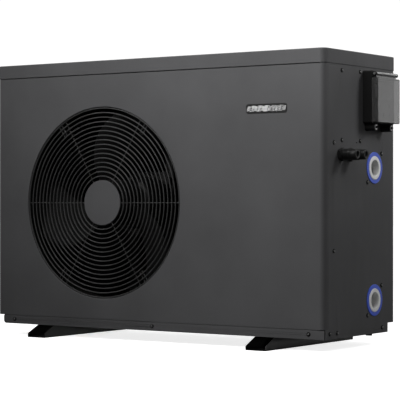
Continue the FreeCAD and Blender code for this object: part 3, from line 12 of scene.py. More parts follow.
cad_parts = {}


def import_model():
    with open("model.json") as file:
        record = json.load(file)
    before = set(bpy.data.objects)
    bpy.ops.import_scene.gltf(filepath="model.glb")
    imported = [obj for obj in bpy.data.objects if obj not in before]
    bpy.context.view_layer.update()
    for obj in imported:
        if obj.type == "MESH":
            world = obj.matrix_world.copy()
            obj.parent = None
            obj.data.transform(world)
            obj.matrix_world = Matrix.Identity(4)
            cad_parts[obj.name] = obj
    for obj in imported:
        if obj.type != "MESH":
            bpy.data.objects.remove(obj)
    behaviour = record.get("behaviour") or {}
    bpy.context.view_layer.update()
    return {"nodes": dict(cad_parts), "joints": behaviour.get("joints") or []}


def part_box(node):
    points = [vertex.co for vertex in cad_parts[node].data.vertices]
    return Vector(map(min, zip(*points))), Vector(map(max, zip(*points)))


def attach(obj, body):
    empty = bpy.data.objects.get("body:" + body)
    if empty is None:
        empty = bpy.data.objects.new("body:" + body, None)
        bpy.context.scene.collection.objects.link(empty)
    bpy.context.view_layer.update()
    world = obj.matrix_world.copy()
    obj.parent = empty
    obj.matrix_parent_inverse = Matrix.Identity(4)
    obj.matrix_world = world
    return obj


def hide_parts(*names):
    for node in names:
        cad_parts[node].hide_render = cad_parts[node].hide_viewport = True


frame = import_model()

MM = 0.001
X_AXIS, Y_AXIS, Z_AXIS = Vector((1, 0, 0)), Vector((0, 1, 0)), Vector((0, 0, 1))

# ---------------------------------------------------------------- sizes that the frame doesn't give
SHEET = 1.2 * MM                    # casing sheet thickness
CORNER_R = 13 * MM                  # upright corners of the front panel
COVER_EDGE_R = 2.4 * MM             # pressed edge round the top of the cover
WRAP_LIP = 12 * MM                  # front panel's fold behind the side panels
OPENING_GAP = 1.1 * MM              # between the guard's outer ring and the panel
COLLAR_DEPTH, COLLAR_R = 3.4 * MM, 1.6 * MM
SEAM_H, SEAM_DEPTH = 1.9 * MM, 3.0 * MM      # shadow gap between the front panel and the cover's lip
WIRE_R, RIB_R = 1.4 * MM, 1.1 * MM
RING_COUNT, RING_PITCH = 16, 10.16 * MM
RIB_COUNT, RIB_START = 6, 30 * MM
STUB_SPREAD = 4 * MM                # half the distance between a clip's two short wires
COIL_DEPTH = 37 * MM
FIN_PITCH, FIN_T = 2.0 * MM, 0.16 * MM

# ---------------------------------------------------------------- places from the frame
FAN = Vector(next(j["pos_m"] for j in frame["joints"] if j["name"] == "fan_spin"))
COVER_LO, COVER_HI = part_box("top_cover")
PANEL_LO, PANEL_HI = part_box("front_panel")
GUARD_LO, GUARD_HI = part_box("fan_guard")
GUARD_R = (GUARD_HI.z - GUARD_LO.z) / 2
RING_Y, RIB_Y = GUARD_LO.y + WIRE_R, GUARD_HI.y - WIRE_R


def solids_of(node):
    """The boxes of a CAD node's separate solids, from the lowest X, Y and Z up."""
    bm = bmesh.new()
    bm.from_mesh(frame["nodes"][node].data)
    bmesh.ops.remove_doubles(bm, verts=bm.verts, dist=1e-6)
    seen, boxes = set(), []
    for start in bm.verts:
        if start in seen:
            continue
        seen.add(start)
        stack, found = [start], []
        while stack:
            vert = stack.pop()
            found.append(vert.co.copy())
            for edge in vert.link_edges:
                other = edge.other_vert(vert)
                if other not in seen:
                    seen.add(other)
                    stack.append(other)
        low = Vector([min(p[i] for p in found) for i in range(3)])
        high = Vector([max(p[i] for p in found) for i in range(3)])
        boxes.append((low, high))
    bm.free()
    return sorted(boxes, key=lambda b: [round(c, 5) for c in (*b[0], *b[1])])


# ---------------------------------------------------------------- material nodes
def add(tree, kind, inputs=None, **settings):
    """A shader node; inputs are numbers, colours or the sockets to link."""
    made = tree.nodes.new("ShaderNode" + kind)
    for key, value in settings.items():
        setattr(made, key, value)
    for key, value in (inputs or {}).items():
        socket = made.inputs[key]
        if isinstance(value, bpy.types.NodeSocket):
            tree.links.new(value, socket)
        else:
            socket.default_value = value
    return made


def grey(value, tint=(1, 1, 1)):
    return (value * tint[0], value * tint[1], value * tint[2], 1)


def start_material(name):
    material = bpy.data.materials.new(name)
    material.use_nodes = True
    tree = material.node_tree
    tree.nodes.clear()
    shader = add(tree, "BsdfPrincipled")
    out = add(tree, "OutputMaterial", {"Surface": shader.outputs[0]})
    coords = add(tree, "TexCoord").outputs["Object"]
    return material, tree, shader, out, coords


def stretched(tree, coords, scale):
    return add(tree, "Mapping", {"Vector": coords, "Scale": scale}).outputs[0]


def noise(tree, coords, scale, detail=3.0, rough=0.55):
    made = add(tree, "TexNoise", {"Vector": coords, "Scale": scale, "Detail": detail, "Roughness": rough})
    return made.outputs["Fac"]


def ramp(tree, value, low, high, to_low=0.0, to_high=1.0):
    made = add(tree, "MapRange", {"Value": value, "From Min": low, "From Max": high,
                                  "To Min": to_low, "To Max": to_high})
    return made.outputs[0]


def mix(tree, factor, a, b, blend="MIX"):
    made = add(tree, "Mix", data_type="RGBA", blend_type=blend)
    for index, value in ((0, factor), (6, a), (7, b)):
        if isinstance(value, bpy.types.NodeSocket):
            tree.links.new(value, made.inputs[index])
        else:
            made.inputs[index].default_value = value
    return made.outputs[2]


def calculate(tree, operation, *values):
    return add(tree, "Math", dict(enumerate(values)), operation=operation).outputs[0]


def times(tree, a, b):
    return calculate(tree, "MULTIPLY", a, b)


def plus(tree, a, b):
    return calculate(tree, "ADD", a, b)


def paler(colour, gain, lift):
    return tuple(min(1.0, c * gain + lift) for c in colour[:3]) + (1,)


def edge_mask(tree, radius):
    """1 along convex and concave edges within the radius, 0 on open faces."""
    soft = add(tree, "Bevel", {"Radius": radius}, samples=4).outputs[0]
    hard = add(tree, "NewGeometry").outputs["True Normal"]
    dot = add(tree, "VectorMath", {0: soft, 1: hard}, operation="DOT_PRODUCT").outputs["Value"]
    return ramp(tree, dot, 0.995, 0.80)


def up_mask(tree):
    """1 on faces that look up, where dust settles."""
    normal = add(tree, "NewGeometry").outputs["Normal"]
    split = add(tree, "SeparateXYZ", {0: normal})
    return ramp(tree, split.outputs["Z"], 0.6, 1.0)


def finish_surface(tree, shader, colour, rough, bumps):
    """Link the colour and roughness, and stack the bumps of (height, strength, distance)."""
    tree.links.new(colour, shader.inputs["Base Color"])
    tree.links.new(rough, shader.inputs["Roughness"])
    normal = None
    for height, strength, distance in bumps:
        made = add(tree, "Bump", {"Height": height, "Strength": strength, "Distance": distance})
        if normal is not None:
            tree.links.new(normal, made.inputs["Normal"])
        normal = made.outputs[0]
    if normal is not None:
        tree.links.new(normal, shader.inputs["Normal"])


def coated(name, colour, rough=0.52, specular=0.4, grain=1500.0, grain_depth=0.05, wear=0.35, dust=0.05,
           cloud=0.10):
    """Paint or moulded plastic: fine grain, cloudy tone, paler worn edges and a little dust."""
    material, tree, shader, _, coords = start_material(name)
    cloud_tone = ramp(tree, noise(tree, coords, 6.0), 0.3, 0.7, 1 - cloud, 1 + cloud)
    speck = noise(tree, coords, grain * 0.8, 2.0, 0.7)
    speck_tone = ramp(tree, speck, 0.25, 0.75, 0.90, 1.10)
    tone = times(tree, cloud_tone, speck_tone)
    base = mix(tree, 1.0, colour, tone, "MULTIPLY")
    scuffs = ramp(tree, noise(tree, coords, 55.0, 5.0, 0.7), 0.42, 0.66)
    rubbed = times(tree, edge_mask(tree, 0.9 * MM), scuffs)
    base = mix(tree, times(tree, rubbed, wear), base, paler(colour, 2.2, 0.02))
    settled = ramp(tree, noise(tree, coords, 24.0, 6.0, 0.6), 0.35, 0.8, 0.0, dust)
    dusty = times(tree, up_mask(tree), settled)
    base = mix(tree, dusty, base, grey(0.42, (1.0, 0.97, 0.92)))
    wipe = noise(tree, stretched(tree, coords, (14, 14, 4)), 3.0, 4.0)
    roughness = plus(tree, ramp(tree, wipe, 0.3, 0.7, rough - 0.05, rough + 0.05),
                     ramp(tree, speck, 0.2, 0.8, -0.04, 0.04))
    cells = add(tree, "TexVoronoi", {"Vector": coords, "Scale": grain}, feature="SMOOTH_F1")
    pebbles = cells.outputs["Distance"]
    finish_surface(tree, shader, base, roughness,
                   [(pebbles, 0.5, grain_depth * MM), (speck, 0.4, grain_depth * MM)])
    shader.inputs["Specular IOR Level"].default_value = specular
    return material


def shaded_channel_paint(name, colour, **settings):
    """Paint that goes dull black inside the feet's channels: painted shade where the channel walls keep the
    light out.
    """
    low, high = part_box("foot_right")
    middle_x, half_w = (low.x + high.x) / 2, (high.x - low.x) / 2
    material = coated(name, colour, **settings)
    tree = material.node_tree
    shader = next(node for node in tree.nodes if node.type == "BSDF_PRINCIPLED")
    coords = add(tree, "TexCoord").outputs["Object"]
    x = add(tree, "SeparateXYZ", {0: coords}).outputs["X"]
    off = calculate(tree, "SUBTRACT", calculate(tree, "ABSOLUTE", x), middle_x)
    reach = calculate(tree, "ABSOLUTE", off)
    paint = shader.inputs["Base Color"].links[0].from_socket
    # painted shade: near-black colour and almost no shine on the faces inside the channel walls
    outside_unshaded = ramp(tree, reach, half_w - 1.4 * MM, half_w - 0.4 * MM)
    tree.links.new(mix(tree, outside_unshaded, grey(0.002), paint), shader.inputs["Base Color"])
    shine_with_painted_shade = ramp(tree, outside_unshaded, 0.0, 1.0, 0.02, settings["specular"])
    tree.links.new(shine_with_painted_shade, shader.inputs["Specular IOR Level"])
    return material


def metal(name, colour, dark, rough=0.35, streak=(1, 1, 40), tarnish=0.35, spangle=0.0):
    """Bare or plated metal: drawn streaks, tarnish patches, polished edges, and zinc spangle if asked."""
    material, tree, shader, _, coords = start_material(name)
    patches = noise(tree, coords, 28.0, 6.0, 0.62)
    lines = noise(tree, stretched(tree, coords, streak), 260.0, 3.0, 0.6)
    tone = mix(tree, ramp(tree, patches, 0.42, 0.68, 0.0, tarnish), colour, dark)
    tone = mix(tree, 1.0, tone, ramp(tree, lines, 0.25, 0.75, 0.9, 1.08), "MULTIPLY")
    if spangle:
        cells = add(tree, "TexVoronoi", {"Vector": coords, "Scale": 140.0}).outputs["Color"]
        flakes = add(tree, "SeparateColor", {0: cells}).outputs[0]
        tone = mix(tree, 1.0, tone, ramp(tree, flakes, 0, 1, 1 - spangle, 1 + spangle), "MULTIPLY")
    edges = edge_mask(tree, 0.6 * MM)
    tone = mix(tree, times(tree, edges, 0.4), tone, paler(colour, 1.25, 0.03))
    roughness = plus(tree, ramp(tree, patches, 0.3, 0.7, rough - 0.06, rough + 0.14),
                     ramp(tree, lines, 0.2, 0.8, -0.05, 0.05))
    finish_surface(tree, shader, tone, roughness, [(lines, 0.15, 0.03 * MM), (patches, 0.2, 0.08 * MM)])
    shader.inputs["Metallic"].default_value = 1.0
    return material


def clear(name, colour, rough, transmission):
    """Clear or smoked moulding: faint haze, moulding waves and fine scratches."""
    material, tree, shader, _, coords = start_material(name)
    haze = noise(tree, coords, 30.0, 5.0, 0.6)
    tone = mix(tree, ramp(tree, haze, 0.35, 0.75, 0.0, 0.12), colour, grey(0.5))
    scratches = noise(tree, stretched(tree, coords, (40, 3, 40)), 30.0, 6.0, 0.7)
    roughness = plus(tree, ramp(tree, haze, 0.3, 0.8, rough, rough + 0.06),
                     ramp(tree, scratches, 0.62, 0.72, 0.0, 0.10))
    waves = noise(tree, coords, 45.0, 1.0)
    finish_surface(tree, shader, tone, roughness, [(waves, 0.06, 0.2 * MM), (scratches, 0.03, 0.02 * MM)])
    shader.inputs["Transmission Weight"].default_value = transmission
    shader.inputs["IOR"].default_value = 1.49
    return material


def circuit_board(name):
    """Green solder mask with copper tracks under it."""
    material, tree, shader, _, coords = start_material(name)
    cells = add(tree, "TexBrick", {
        "Vector": stretched(tree, coords, (60, 60, 60)), "Scale": 3.0, "Mortar Size": 0.03,
        "Color1": grey(0.05, (0.2, 1, 0.5)), "Color2": grey(0.07, (0.3, 1, 0.5)),
        "Mortar": grey(0.14, (0.5, 1, 0.4))}).outputs["Color"]
    speck = noise(tree, coords, 500.0)
    tone = mix(tree, 1.0, cells, ramp(tree, speck, 0.2, 0.8, 0.8, 1.2), "MULTIPLY")
    finish_surface(tree, shader, tone, ramp(tree, speck, 0.3, 0.7, 0.25, 0.4), [(speck, 0.2, 0.05 * MM)])
    return material


MATERIALS = {
    "case_paint": coated("Case paint", grey(0.060, (0.99, 0.99, 1.02)), rough=0.62, specular=0.12),
    "foot_paint": shaded_channel_paint("Foot paint", grey(0.018), rough=0.55, specular=0.15, grain=900, wear=0.5),
    "guard_wire": coated("Guard wire coating", grey(0.026), rough=0.48, specular=0.25, grain=2200, wear=0.15),
    "dark_screw": metal("Black zinc", grey(0.16), grey(0.06), rough=0.36, tarnish=0.5),
    "galvanised": metal("Galvanised steel", grey(0.42), grey(0.28), rough=0.4, spangle=0.18, tarnish=0.3),
    "plain_steel": metal("Plain steel", grey(0.50), grey(0.30), rough=0.28),
    "fan_plastic": coated("Fan plastic", grey(0.0045), rough=0.65, specular=0.07, grain=1100, wear=0.1),
    "box_plastic": coated("Box plastic", grey(0.008), rough=0.55, specular=0.14, grain=1800, wear=0.15),
    "gland_plastic": coated("Gland plastic", grey(0.0065), rough=0.46, specular=0.24, grain=1600, wear=0.2),
    "button_rubber": coated("Button rubber", grey(0.05), rough=0.7, specular=0.3, grain=2600, wear=0.3),
    "smoke_clear": clear("Smoked cover", grey(0.34), rough=0.04, transmission=0.90),
    "display_window": coated("Display window", grey(0.006, (0.8, 1.0, 1.0)), rough=0.12, specular=0.5,
                             grain=300, grain_depth=0.004, wear=0.05, cloud=0.25),
    "machine_paint": coated("Machine enamel", grey(0.008), rough=0.5, specular=0.2, grain=400,
                            grain_depth=0.1),
    "fin_aluminium": coated("Fin coat", grey(0.012, (0.95, 0.98, 1.0)), rough=0.65, specular=0.10, grain=700),
    "copper": metal("Copper", grey(0.62, (1.0, 0.52, 0.34)), grey(0.20, (1.0, 0.6, 0.42)), rough=0.3,
                    tarnish=0.6),
    "valve_brass": metal("Brass", grey(0.62, (1.0, 0.78, 0.38)), grey(0.26, (1.0, 0.8, 0.45)), rough=0.3),
    "valve_coil_plastic": coated("Valve coil plastic", grey(0.10, (0.5, 0.7, 1.2)), grain=900),
    "grommet_rubber": coated("Grommet rubber", grey(0.006), rough=0.75, specular=0.1, grain=1300,
                             grain_depth=0.1),
    "vessel_plastic": coated("Vessel plastic", grey(0.05), rough=0.45, grain=700, grain_depth=0.1),
    "titanium": metal("Titanium", grey(0.36, (1.0, 0.97, 0.92)), grey(0.22, (1.0, 0.9, 0.8)), rough=0.36),
    "socket_white": coated("Socket PVC", grey(0.66, (1.0, 1.0, 0.99)), rough=0.34, specular=0.5, grain=600,
                           grain_depth=0.02, wear=0.0, dust=0.2, cloud=0.05),
    "ring_blue": coated("Ring blue", grey(1.0, (0.026, 0.075, 0.50)), rough=0.4, specular=0.45, grain=800,
                        grain_depth=0.02, wear=0.25),
    "board_green": circuit_board("Circuit board"),
    "can_aluminium": metal("Capacitor can", grey(0.6), grey(0.45), rough=0.3, streak=(1, 1, 20)),
    "block_plastic": coated("Terminal plastic", grey(0.55, (1.0, 0.97, 0.9)), rough=0.5, grain=900,
                            dust=0.15),
    "badge_metal": metal("Badge aluminium", grey(0.78), grey(0.55), rough=0.24, streak=(60, 1, 1),
                         tarnish=0.1),
}


# ---------------------------------------------------------------- mesh helpers
def bridge(bm, a, b):
    """Quads, or a fan of triangles, between two closed loops."""
    count = max(len(a), len(b))
    for i in range(count):
        j = (i + 1) % count
        corners = [a[i % len(a)], a[j % len(a)], b[j % len(b)], b[i % len(b)]]
        bm.faces.new(list(dict.fromkeys(corners)))


def loft(bm, loops, caps=True, closed=False):
    """Skin a list of loops of points; loops of one point are tips."""
    rings = [[bm.verts.new(p) for p in loop] for loop in loops]
    for a, b in zip(rings, rings[1:]):
        bridge(bm, a, b)
    if closed:
        bridge(bm, rings[-1], rings[0])
    elif caps:
        for ring in (rings[0], rings[-1]):
            if len(ring) > 2:
                bm.faces.new(ring)
    return rings


def facing(axis):
    return Z_AXIS.rotation_difference(Vector(axis)).to_matrix()


def lathe(bm, profile, place, axis, steps=96, closed=False, ridge=None):
    """Turn a profile of (radius, height) about an axis. ridge(height, angle) adds to the radius."""
    turn = facing(axis)
    loops = []
    for radius, height in profile:
        if radius < 1e-7:
            loops.append([place + turn @ Vector((0, 0, height))])
            continue
        loop = []
        for i in range(steps):
            angle = 2 * math.pi * i / steps
            r = radius + (ridge(height, angle) if ridge else 0)
            loop.append(place + turn @ Vector((r * math.cos(angle), r * math.sin(angle), height)))
        loops.append(loop)
    return loft(bm, loops, closed=closed)


def rounded(points, steps=4, closed=False):
    """Round a flat outline's corners; its points are (a, b, corner radius)."""
    out = []
    last = len(points) - 1
    for i, (a, b, r) in enumerate(points):
        if r <= 0 or (not closed and i in (0, last)):
            out.append((a, b))
            continue
        corner = Vector((a, b))
        u = (Vector(points[i - 1][:2]) - corner).normalized()
        w = (Vector(points[(i + 1) % (last + 1)][:2]) - corner).normalized()
        half = u.angle(w) / 2
        centre = corner + (u + w).normalized() * (r / math.sin(half))
        first = corner + u * (r / math.tan(half)) - centre
        final = corner + w * (r / math.tan(half)) - centre
        sweep = math.atan2(first.x * final.y - first.y * final.x, first.dot(final))
        for k in range(steps + 1):
            point = centre + Matrix.Rotation(sweep * k / steps, 2) @ first
            out.append((point.x, point.y))
    return out


def rectangle(x0, x1, y0, y1, r, steps):
    return rounded([(x0, y0, r), (x1, y0, r), (x1, y1, r), (x0, y1, r)], steps, closed=True)


def rounded_box(bm, low, high, r, steps=3):
    """A box with every edge rounded."""
    made = bmesh.ops.create_cube(bm, size=1.0)["verts"]
    size, middle = Vector(high) - Vector(low), (Vector(high) + Vector(low)) / 2
    for vert in made:
        vert.co = Vector([vert.co[i] * size[i] + middle[i] for i in range(3)])
    edges = list({e for v in made for e in v.link_edges})
    bmesh.ops.bevel(bm, geom=edges, offset=r, segments=steps, affect="EDGES", profile=0.5)


def tube(bm, path, radius, sides):
    """A round wire or pipe along points, its ends domed a little."""
    points = [Vector(p) for p in path]
    loops = []
    normal = None
    for i, point in enumerate(points):
        ahead = (points[min(i + 1, len(points) - 1)] - points[max(i - 1, 0)]).normalized()
        if normal is None:
            normal = ahead.orthogonal().normalized()
        normal = (normal - ahead * normal.dot(ahead)).normalized()
        side = ahead.cross(normal)
        loop = [point + (normal * math.cos(a) + side * math.sin(a)) * radius
                for a in (2 * math.pi * k / sides for k in range(sides))]
        if i == 0:
            loops += [[point], [point + (q - point) * 0.7 for q in loop]]
            loops.append([q + ahead * radius * 0.3 for q in loop])
        elif i == len(points) - 1:
            loops.append([q - ahead * radius * 0.3 for q in loop])
            loops += [[point + (q - point) * 0.7 for q in loop], [point]]
        else:
            loops.append(loop)
    loft(bm, loops, caps=False)


def bead(bm, place, radii, turn=None):
    """A small ellipsoid, as a weld or a rivet."""
    made = bmesh.ops.create_icosphere(bm, subdivisions=2, radius=1.0)["verts"]
    for vert in made:
        co = Vector([vert.co[i] * radii[i] for i in range(3)])
        vert.co = place + (turn @ co if turn else co)


def fan_point(radius, angle, y):
    """A point by radius and angle about the fan axis; angle 0 is +X, and it grows towards +Z."""
    return Vector((FAN.x + radius * math.cos(angle), y, FAN.z + radius * math.sin(angle)))


def make_piece(name, bm, body, slot, replaces=(), sharp=35.0):
    """Turn the mesh into a piece that rides on a body and stands for CAD nodes."""
    bmesh.ops.recalc_face_normals(bm, faces=bm.faces)
    mesh = bpy.data.meshes.new(name)
    bm.to_mesh(mesh)
    bm.free()
    mesh.polygons.foreach_set("use_smooth", [True] * len(mesh.polygons))
    mesh.set_sharp_from_angle(angle=math.radians(sharp))
    mesh.materials.append(MATERIALS[slot])
    piece = bpy.data.objects.new(name, mesh)
    bpy.context.scene.collection.objects.link(piece)
    piece.modifiers.new("Normals", "WEIGHTED_NORMAL").keep_sharp = True
    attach(piece, body)
    if replaces:
        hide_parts(*replaces)
    return piece


def soft_edges(piece, width, weld=False, limit=30.0):
    """Modifiers that round every sharp edge a little and keep the faces flat."""
    if weld:
        piece.modifiers.new("Weld", "WELD").merge_threshold = 2e-6
    bevel = piece.modifiers.new("Edge", "BEVEL")
    bevel.width = width
    bevel.segments = 2
    bevel.limit_method = "ANGLE"
    bevel.angle_limit = math.radians(limit)
    bevel.use_clamp_overlap = False
    normals = piece.modifiers.get("Normals")
    if normals is not None:
        piece.modifiers.remove(normals)
    piece.modifiers.new("Normals", "WEIGHTED_NORMAL").keep_sharp = False


# ---------------------------------------------------------------- casing sheets
def top_cover():
    """Pressed lid: round upright corners, a drawn top edge and a lip all round."""
    low, high = COVER_LO, COVER_HI
    corner = CORNER_R + PANEL_LO.y - low.y

    def loop(inset, z):
        outline = rectangle(low.x + inset, high.x - inset, low.y + inset, high.y - inset, corner - inset, 10)
        return [Vector((x, y, z)) for x, y in outline]
    flat_from, eased = 8 * MM, low.z + 0.3 * MM
    rise = rounded([(0, low.z, 0), (0, high.z, COVER_EDGE_R), (flat_from, high.z, 0)], 6)
    under = rounded([(flat_from, high.z - SHEET, 0), (SHEET, high.z - SHEET, COVER_EDGE_R - SHEET),
                     (SHEET, low.z, 0)], 4)
    lip = [(SHEET, eased), (SHEET * 0.75, low.z), (SHEET * 0.25, low.z), (0, eased)]
    bm = bmesh.new()
    loft(bm, [loop(inset, z) for inset, z in under[:-1] + lip + rise[1:]])
    make_piece("top_cover_lid", bm, "casing", "case_paint", ["top_cover"], sharp=50)


def panel_face(bm, x0, x1, face_top):
    """The flat face, from its square rim in to the collar round the fan; returns the rim's vertices."""
    low = PANEL_LO
    opening, rays = GUARD_R + OPENING_GAP, 192
    collar = rounded([(opening + 6 * MM, 0, 0), (opening, 0, COLLAR_R), (opening, COLLAR_DEPTH, 0)], 5)
    angles = [2 * math.pi * i / rays for i in range(rays)]

    def on_rim(angle):
        reach = []
        c, s = math.cos(angle), math.sin(angle)
        if abs(c) > 1e-9:
            reach.append(((x1 if c > 0 else x0) - FAN.x) / c)
        if abs(s) > 1e-9:
            reach.append(((face_top if s > 0 else low.z) - FAN.z) / s)
        return fan_point(min(reach), angle, low.y)
    rim = [on_rim(a) for a in angles]
    for corner in (Vector((x, low.y, z)) for x in (x0, x1) for z in (low.z, face_top)):
        nearest = min(range(rays), key=lambda i: (rim[i] - corner).length)
        rim[nearest] = corner
    loops = [rim] + [[fan_point(r, a, low.y + depth) for a in angles] for r, depth in collar]
    return loft(bm, loops, caps=False)[0]


def wrap_corner(bm, rim, side, x_flat):
    """Carry one upright edge of the face round its corner and back along the casing's side."""
    edge = sorted((v for v in rim if abs(v.co.x - x_flat) < 1e-6), key=lambda v: v.co.z)
    path = []
    for k in range(1, 9):
        a = math.pi / 2 * k / 8
        path.append((x_flat + side * CORNER_R * math.sin(a), PANEL_LO.y + CORNER_R * (1 - math.cos(a))))
    path.append((x_flat + side * CORNER_R, PANEL_HI.y))
    for x, y in path:
        moved = [bm.verts.new((x, y, v.co.z)) for v in edge]
        for i in range(len(edge) - 1):
            bm.faces.new((edge[i], edge[i + 1], moved[i + 1], moved[i]))
        edge = moved


def set_back_top(bm, x0, x1, face_top):
    """Step the sheet's top edge back, which leaves the shadow gap under the cover's lip."""
    step_h, top_z = 0.2 * MM, PANEL_HI.z
    top = [e for e in bm.edges if e.is_boundary and all(abs(v.co.z - face_top) < 1e-6 for v in e.verts)]
    for z in (face_top + step_h, top_z):
        made = bmesh.ops.extrude_edge_only(bm, edges=top)["geom"]
        top = [e for e in made if isinstance(e, bmesh.types.BMEdge) and e.is_boundary
               and all(v in made for v in e.verts)]
        for vert in [v for v in made if isinstance(v, bmesh.types.BMVert)]:
            if z < top_z and x0 <= vert.co.x <= x1:
                vert.co.y += SEAM_DEPTH
            vert.co.z = z


def front_panel():
    """Front sheet: wrapped round both corners, with a drawn collar round the fan opening."""
    low, high = PANEL_LO, PANEL_HI
    x0, x1 = low.x + CORNER_R, high.x - CORNER_R
    face_top = COVER_LO.z - SEAM_H
    bm = bmesh.new()
    rim = panel_face(bm, x0, x1, face_top)
    wrap_corner(bm, rim, -1, x0)
    wrap_corner(bm, rim, 1, x1)
    set_back_top(bm, x0, x1, face_top)
    bmesh.ops.recalc_face_normals(bm, faces=bm.faces)
    if next(f for f in bm.faces if abs(f.normal.y) > 0.99).normal.y > 0:
        bmesh.ops.reverse_faces(bm, faces=bm.faces)
    bmesh.ops.solidify(bm, geom=bm.faces[:], thickness=SHEET)
    fold_z = low.z + 16 * MM
    for s in (-1, 1):
        inside = s * (high.x - SHEET)
        rounded_box(bm, (min(inside, inside - s * WRAP_LIP), high.y - SHEET, fold_z),
                    (max(inside, inside - s * WRAP_LIP), high.y, high.z), 0.3 * MM)
    piece = make_piece("front_sheet", bm, "casing", "case_paint", ["front_panel"], sharp=50)
    soft_edges(piece, 0.25 * MM, limit=60)


def badge():
    """A plain raised badge: black rim, brushed face and a row of slanted bars, without lettering."""
    low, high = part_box("badge_plate")
    middle = (low + high) / 2
    half_x, half_z = (high.x - low.x) / 2, (high.z - low.z) / 2

    def loop(inset, y):
        outline = rectangle(-half_x + inset, half_x - inset, -half_z + inset, half_z - inset,
                            5 * MM - inset * 0.8, 8)
        return [Vector((middle.x + x, y, middle.z + z)) for x, z in outline]
    bm = bmesh.new()
    rim = [(0, high.y), (0, low.y + 0.25 * MM), (0.2 * MM, low.y + 0.05 * MM), (0.5 * MM, low.y),
           (1.4 * MM, low.y), (1.7 * MM, low.y + 0.3 * MM), (2.0 * MM, low.y + 0.35 * MM)]
    loft(bm, [loop(inset, y) for inset, y in rim])
    make_piece("badge_body", bm, "casing", "box_plastic", ["badge_plate"])
    bm = bmesh.new()
    bars, slant = 11, 0.35
    bar_w, reach = half_x * 0.105, half_x * 0.84
    step = 2 * reach / (bars - 1)
    for i in range(bars):
        x = middle.x - reach + i * step
        h = half_z * (0.62 if i % 2 else 0.5)
        front, back = low.y + 0.02 * MM, low.y + 0.4 * MM
        base = [(-bar_w, -h), (bar_w, -h), (bar_w, h), (-bar_w, h)]
        loops = []
        for inset, y in ((0, back), (0, front + 0.1 * MM), (0.1 * MM, front)):
            loops.append([Vector((x + bx * (1 - inset / bar_w) + bz * slant, y,
                                  middle.z + bz * (1 - inset / h))) for bx, bz in base])
        loft(bm, loops)
    make_piece("badge_bars", bm, "casing", "badge_metal")


# ---------------------------------------------------------------- fan guard and fan
def fan_guard():
    """Concentric wire rings welded on six ribs, with two short wires at each clip."""
    bm = bmesh.new()
    centre = Vector((FAN.x, RING_Y, FAN.z))
    ring_rs = [GUARD_R - WIRE_R - i * RING_PITCH for i in range(RING_COUNT)]
    weld = (1.7 * MM, 1.3 * MM, 1.7 * MM)
    for r in ring_rs:
        section = [(r + WIRE_R * math.cos(a), WIRE_R * math.sin(a))
                   for a in (2 * math.pi * k / 12 for k in range(12))]
        lathe(bm, section, centre, Y_AXIS, steps=160, closed=True)
    spans = [(2 * math.pi * k / RIB_COUNT, 0.0, RIB_START, (GUARD_HI.x - GUARD_LO.x) / 2)
             for k in range(RIB_COUNT)]
    for low, high in solids_of("guard_clips"):
        middle = (low + high) / 2
        angle = math.atan2(middle.z - FAN.z, middle.x - FAN.x)
        spans += [(angle, s * STUB_SPREAD, ring_rs[2] - 6 * MM, ring_rs[0] + 4 * MM) for s in (-1, 1)]
    for angle, offset, r_in, r_out in spans:
        across = Vector((-math.sin(angle), 0, math.cos(angle))) * offset
        points = [fan_point(r_in + (r_out - r_in) * k / 6, angle, RIB_Y) + across for k in range(7)]
        tube(bm, points, RIB_R, 12)
        turn = Matrix.Rotation(-angle, 3, "Y")
        for r in ring_rs:
            along = math.sqrt(max(r * r - offset * offset, 0))
            if r_in - 1 * MM < along < r_out:
                spot = fan_point(along, angle, (RING_Y + RIB_Y) / 2) + across
                bead(bm, spot, weld, turn)
    make_piece("fan_guard_wires", bm, "casing", "guard_wire", ["fan_guard"], sharp=60)


def guard_hub():
    """Pressed disc at the middle of the guard."""
    low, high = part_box("guard_hub_disc")
    r, depth = (high.x - low.x) / 2, high.y - low.y
    outline = rounded([(0, 0, 0), (r, 0, 1.4 * MM), (r, depth, 0)], 6)
    back = [(r - SHEET, depth), (r - SHEET, SHEET + 0.6 * MM), (r - 3 * MM, SHEET), (0, SHEET)]
    bm = bmesh.new()
    lathe(bm, outline + back, Vector((FAN.x, low.y, FAN.z)), Y_AXIS, steps=128)
    make_piece("guard_hub_cap", bm, "casing", "case_paint", ["guard_hub_disc"])


def fan_orifice():
    """Bell-mouthed ring round the blades."""
    low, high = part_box("fan_orifice")
    r_out, depth = (high.x - low.x) / 2, high.y - low.y
    r = r_out - 20 * MM
    wall, flare = 2 * MM, 8 * MM
    inner = rounded([(r, 0, 0), (r, depth, 3 * MM), (r + flare, depth, 0)], 6)
    outer = rounded([(r + flare, depth - wall, 0), (r + wall, depth - wall, 2 * MM),
                     (r + wall, wall, 2 * MM), (r_out, wall, 0), (r_out, 0, 0)], 5)
    bm = bmesh.new()
    lathe(bm, inner + outer, Vector((FAN.x, low.y, FAN.z)), Y_AXIS, steps=192, closed=True)
    make_piece("fan_shroud_ring", bm, "casing", "fan_plastic", ["fan_orifice"])


def blend_stations(stations, share):
    """Smooth values between equally spaced stations, share from 0 to 1."""
    at = share * (len(stations) - 1)
    i = min(int(at), len(stations) - 2)
    t = at - i
    last = len(stations) - 1
    around = [stations[max(i - 1, 0)], stations[i], stations[i + 1], stations[min(i + 2, last)]]
    return [0.5 * (2 * b + (c - a) * t + (2 * a - 5 * b + 4 * c - d) * t * t
                   + (3 * b - a - 3 * c + d) * t ** 3) for a, b, c, d in zip(*around)]


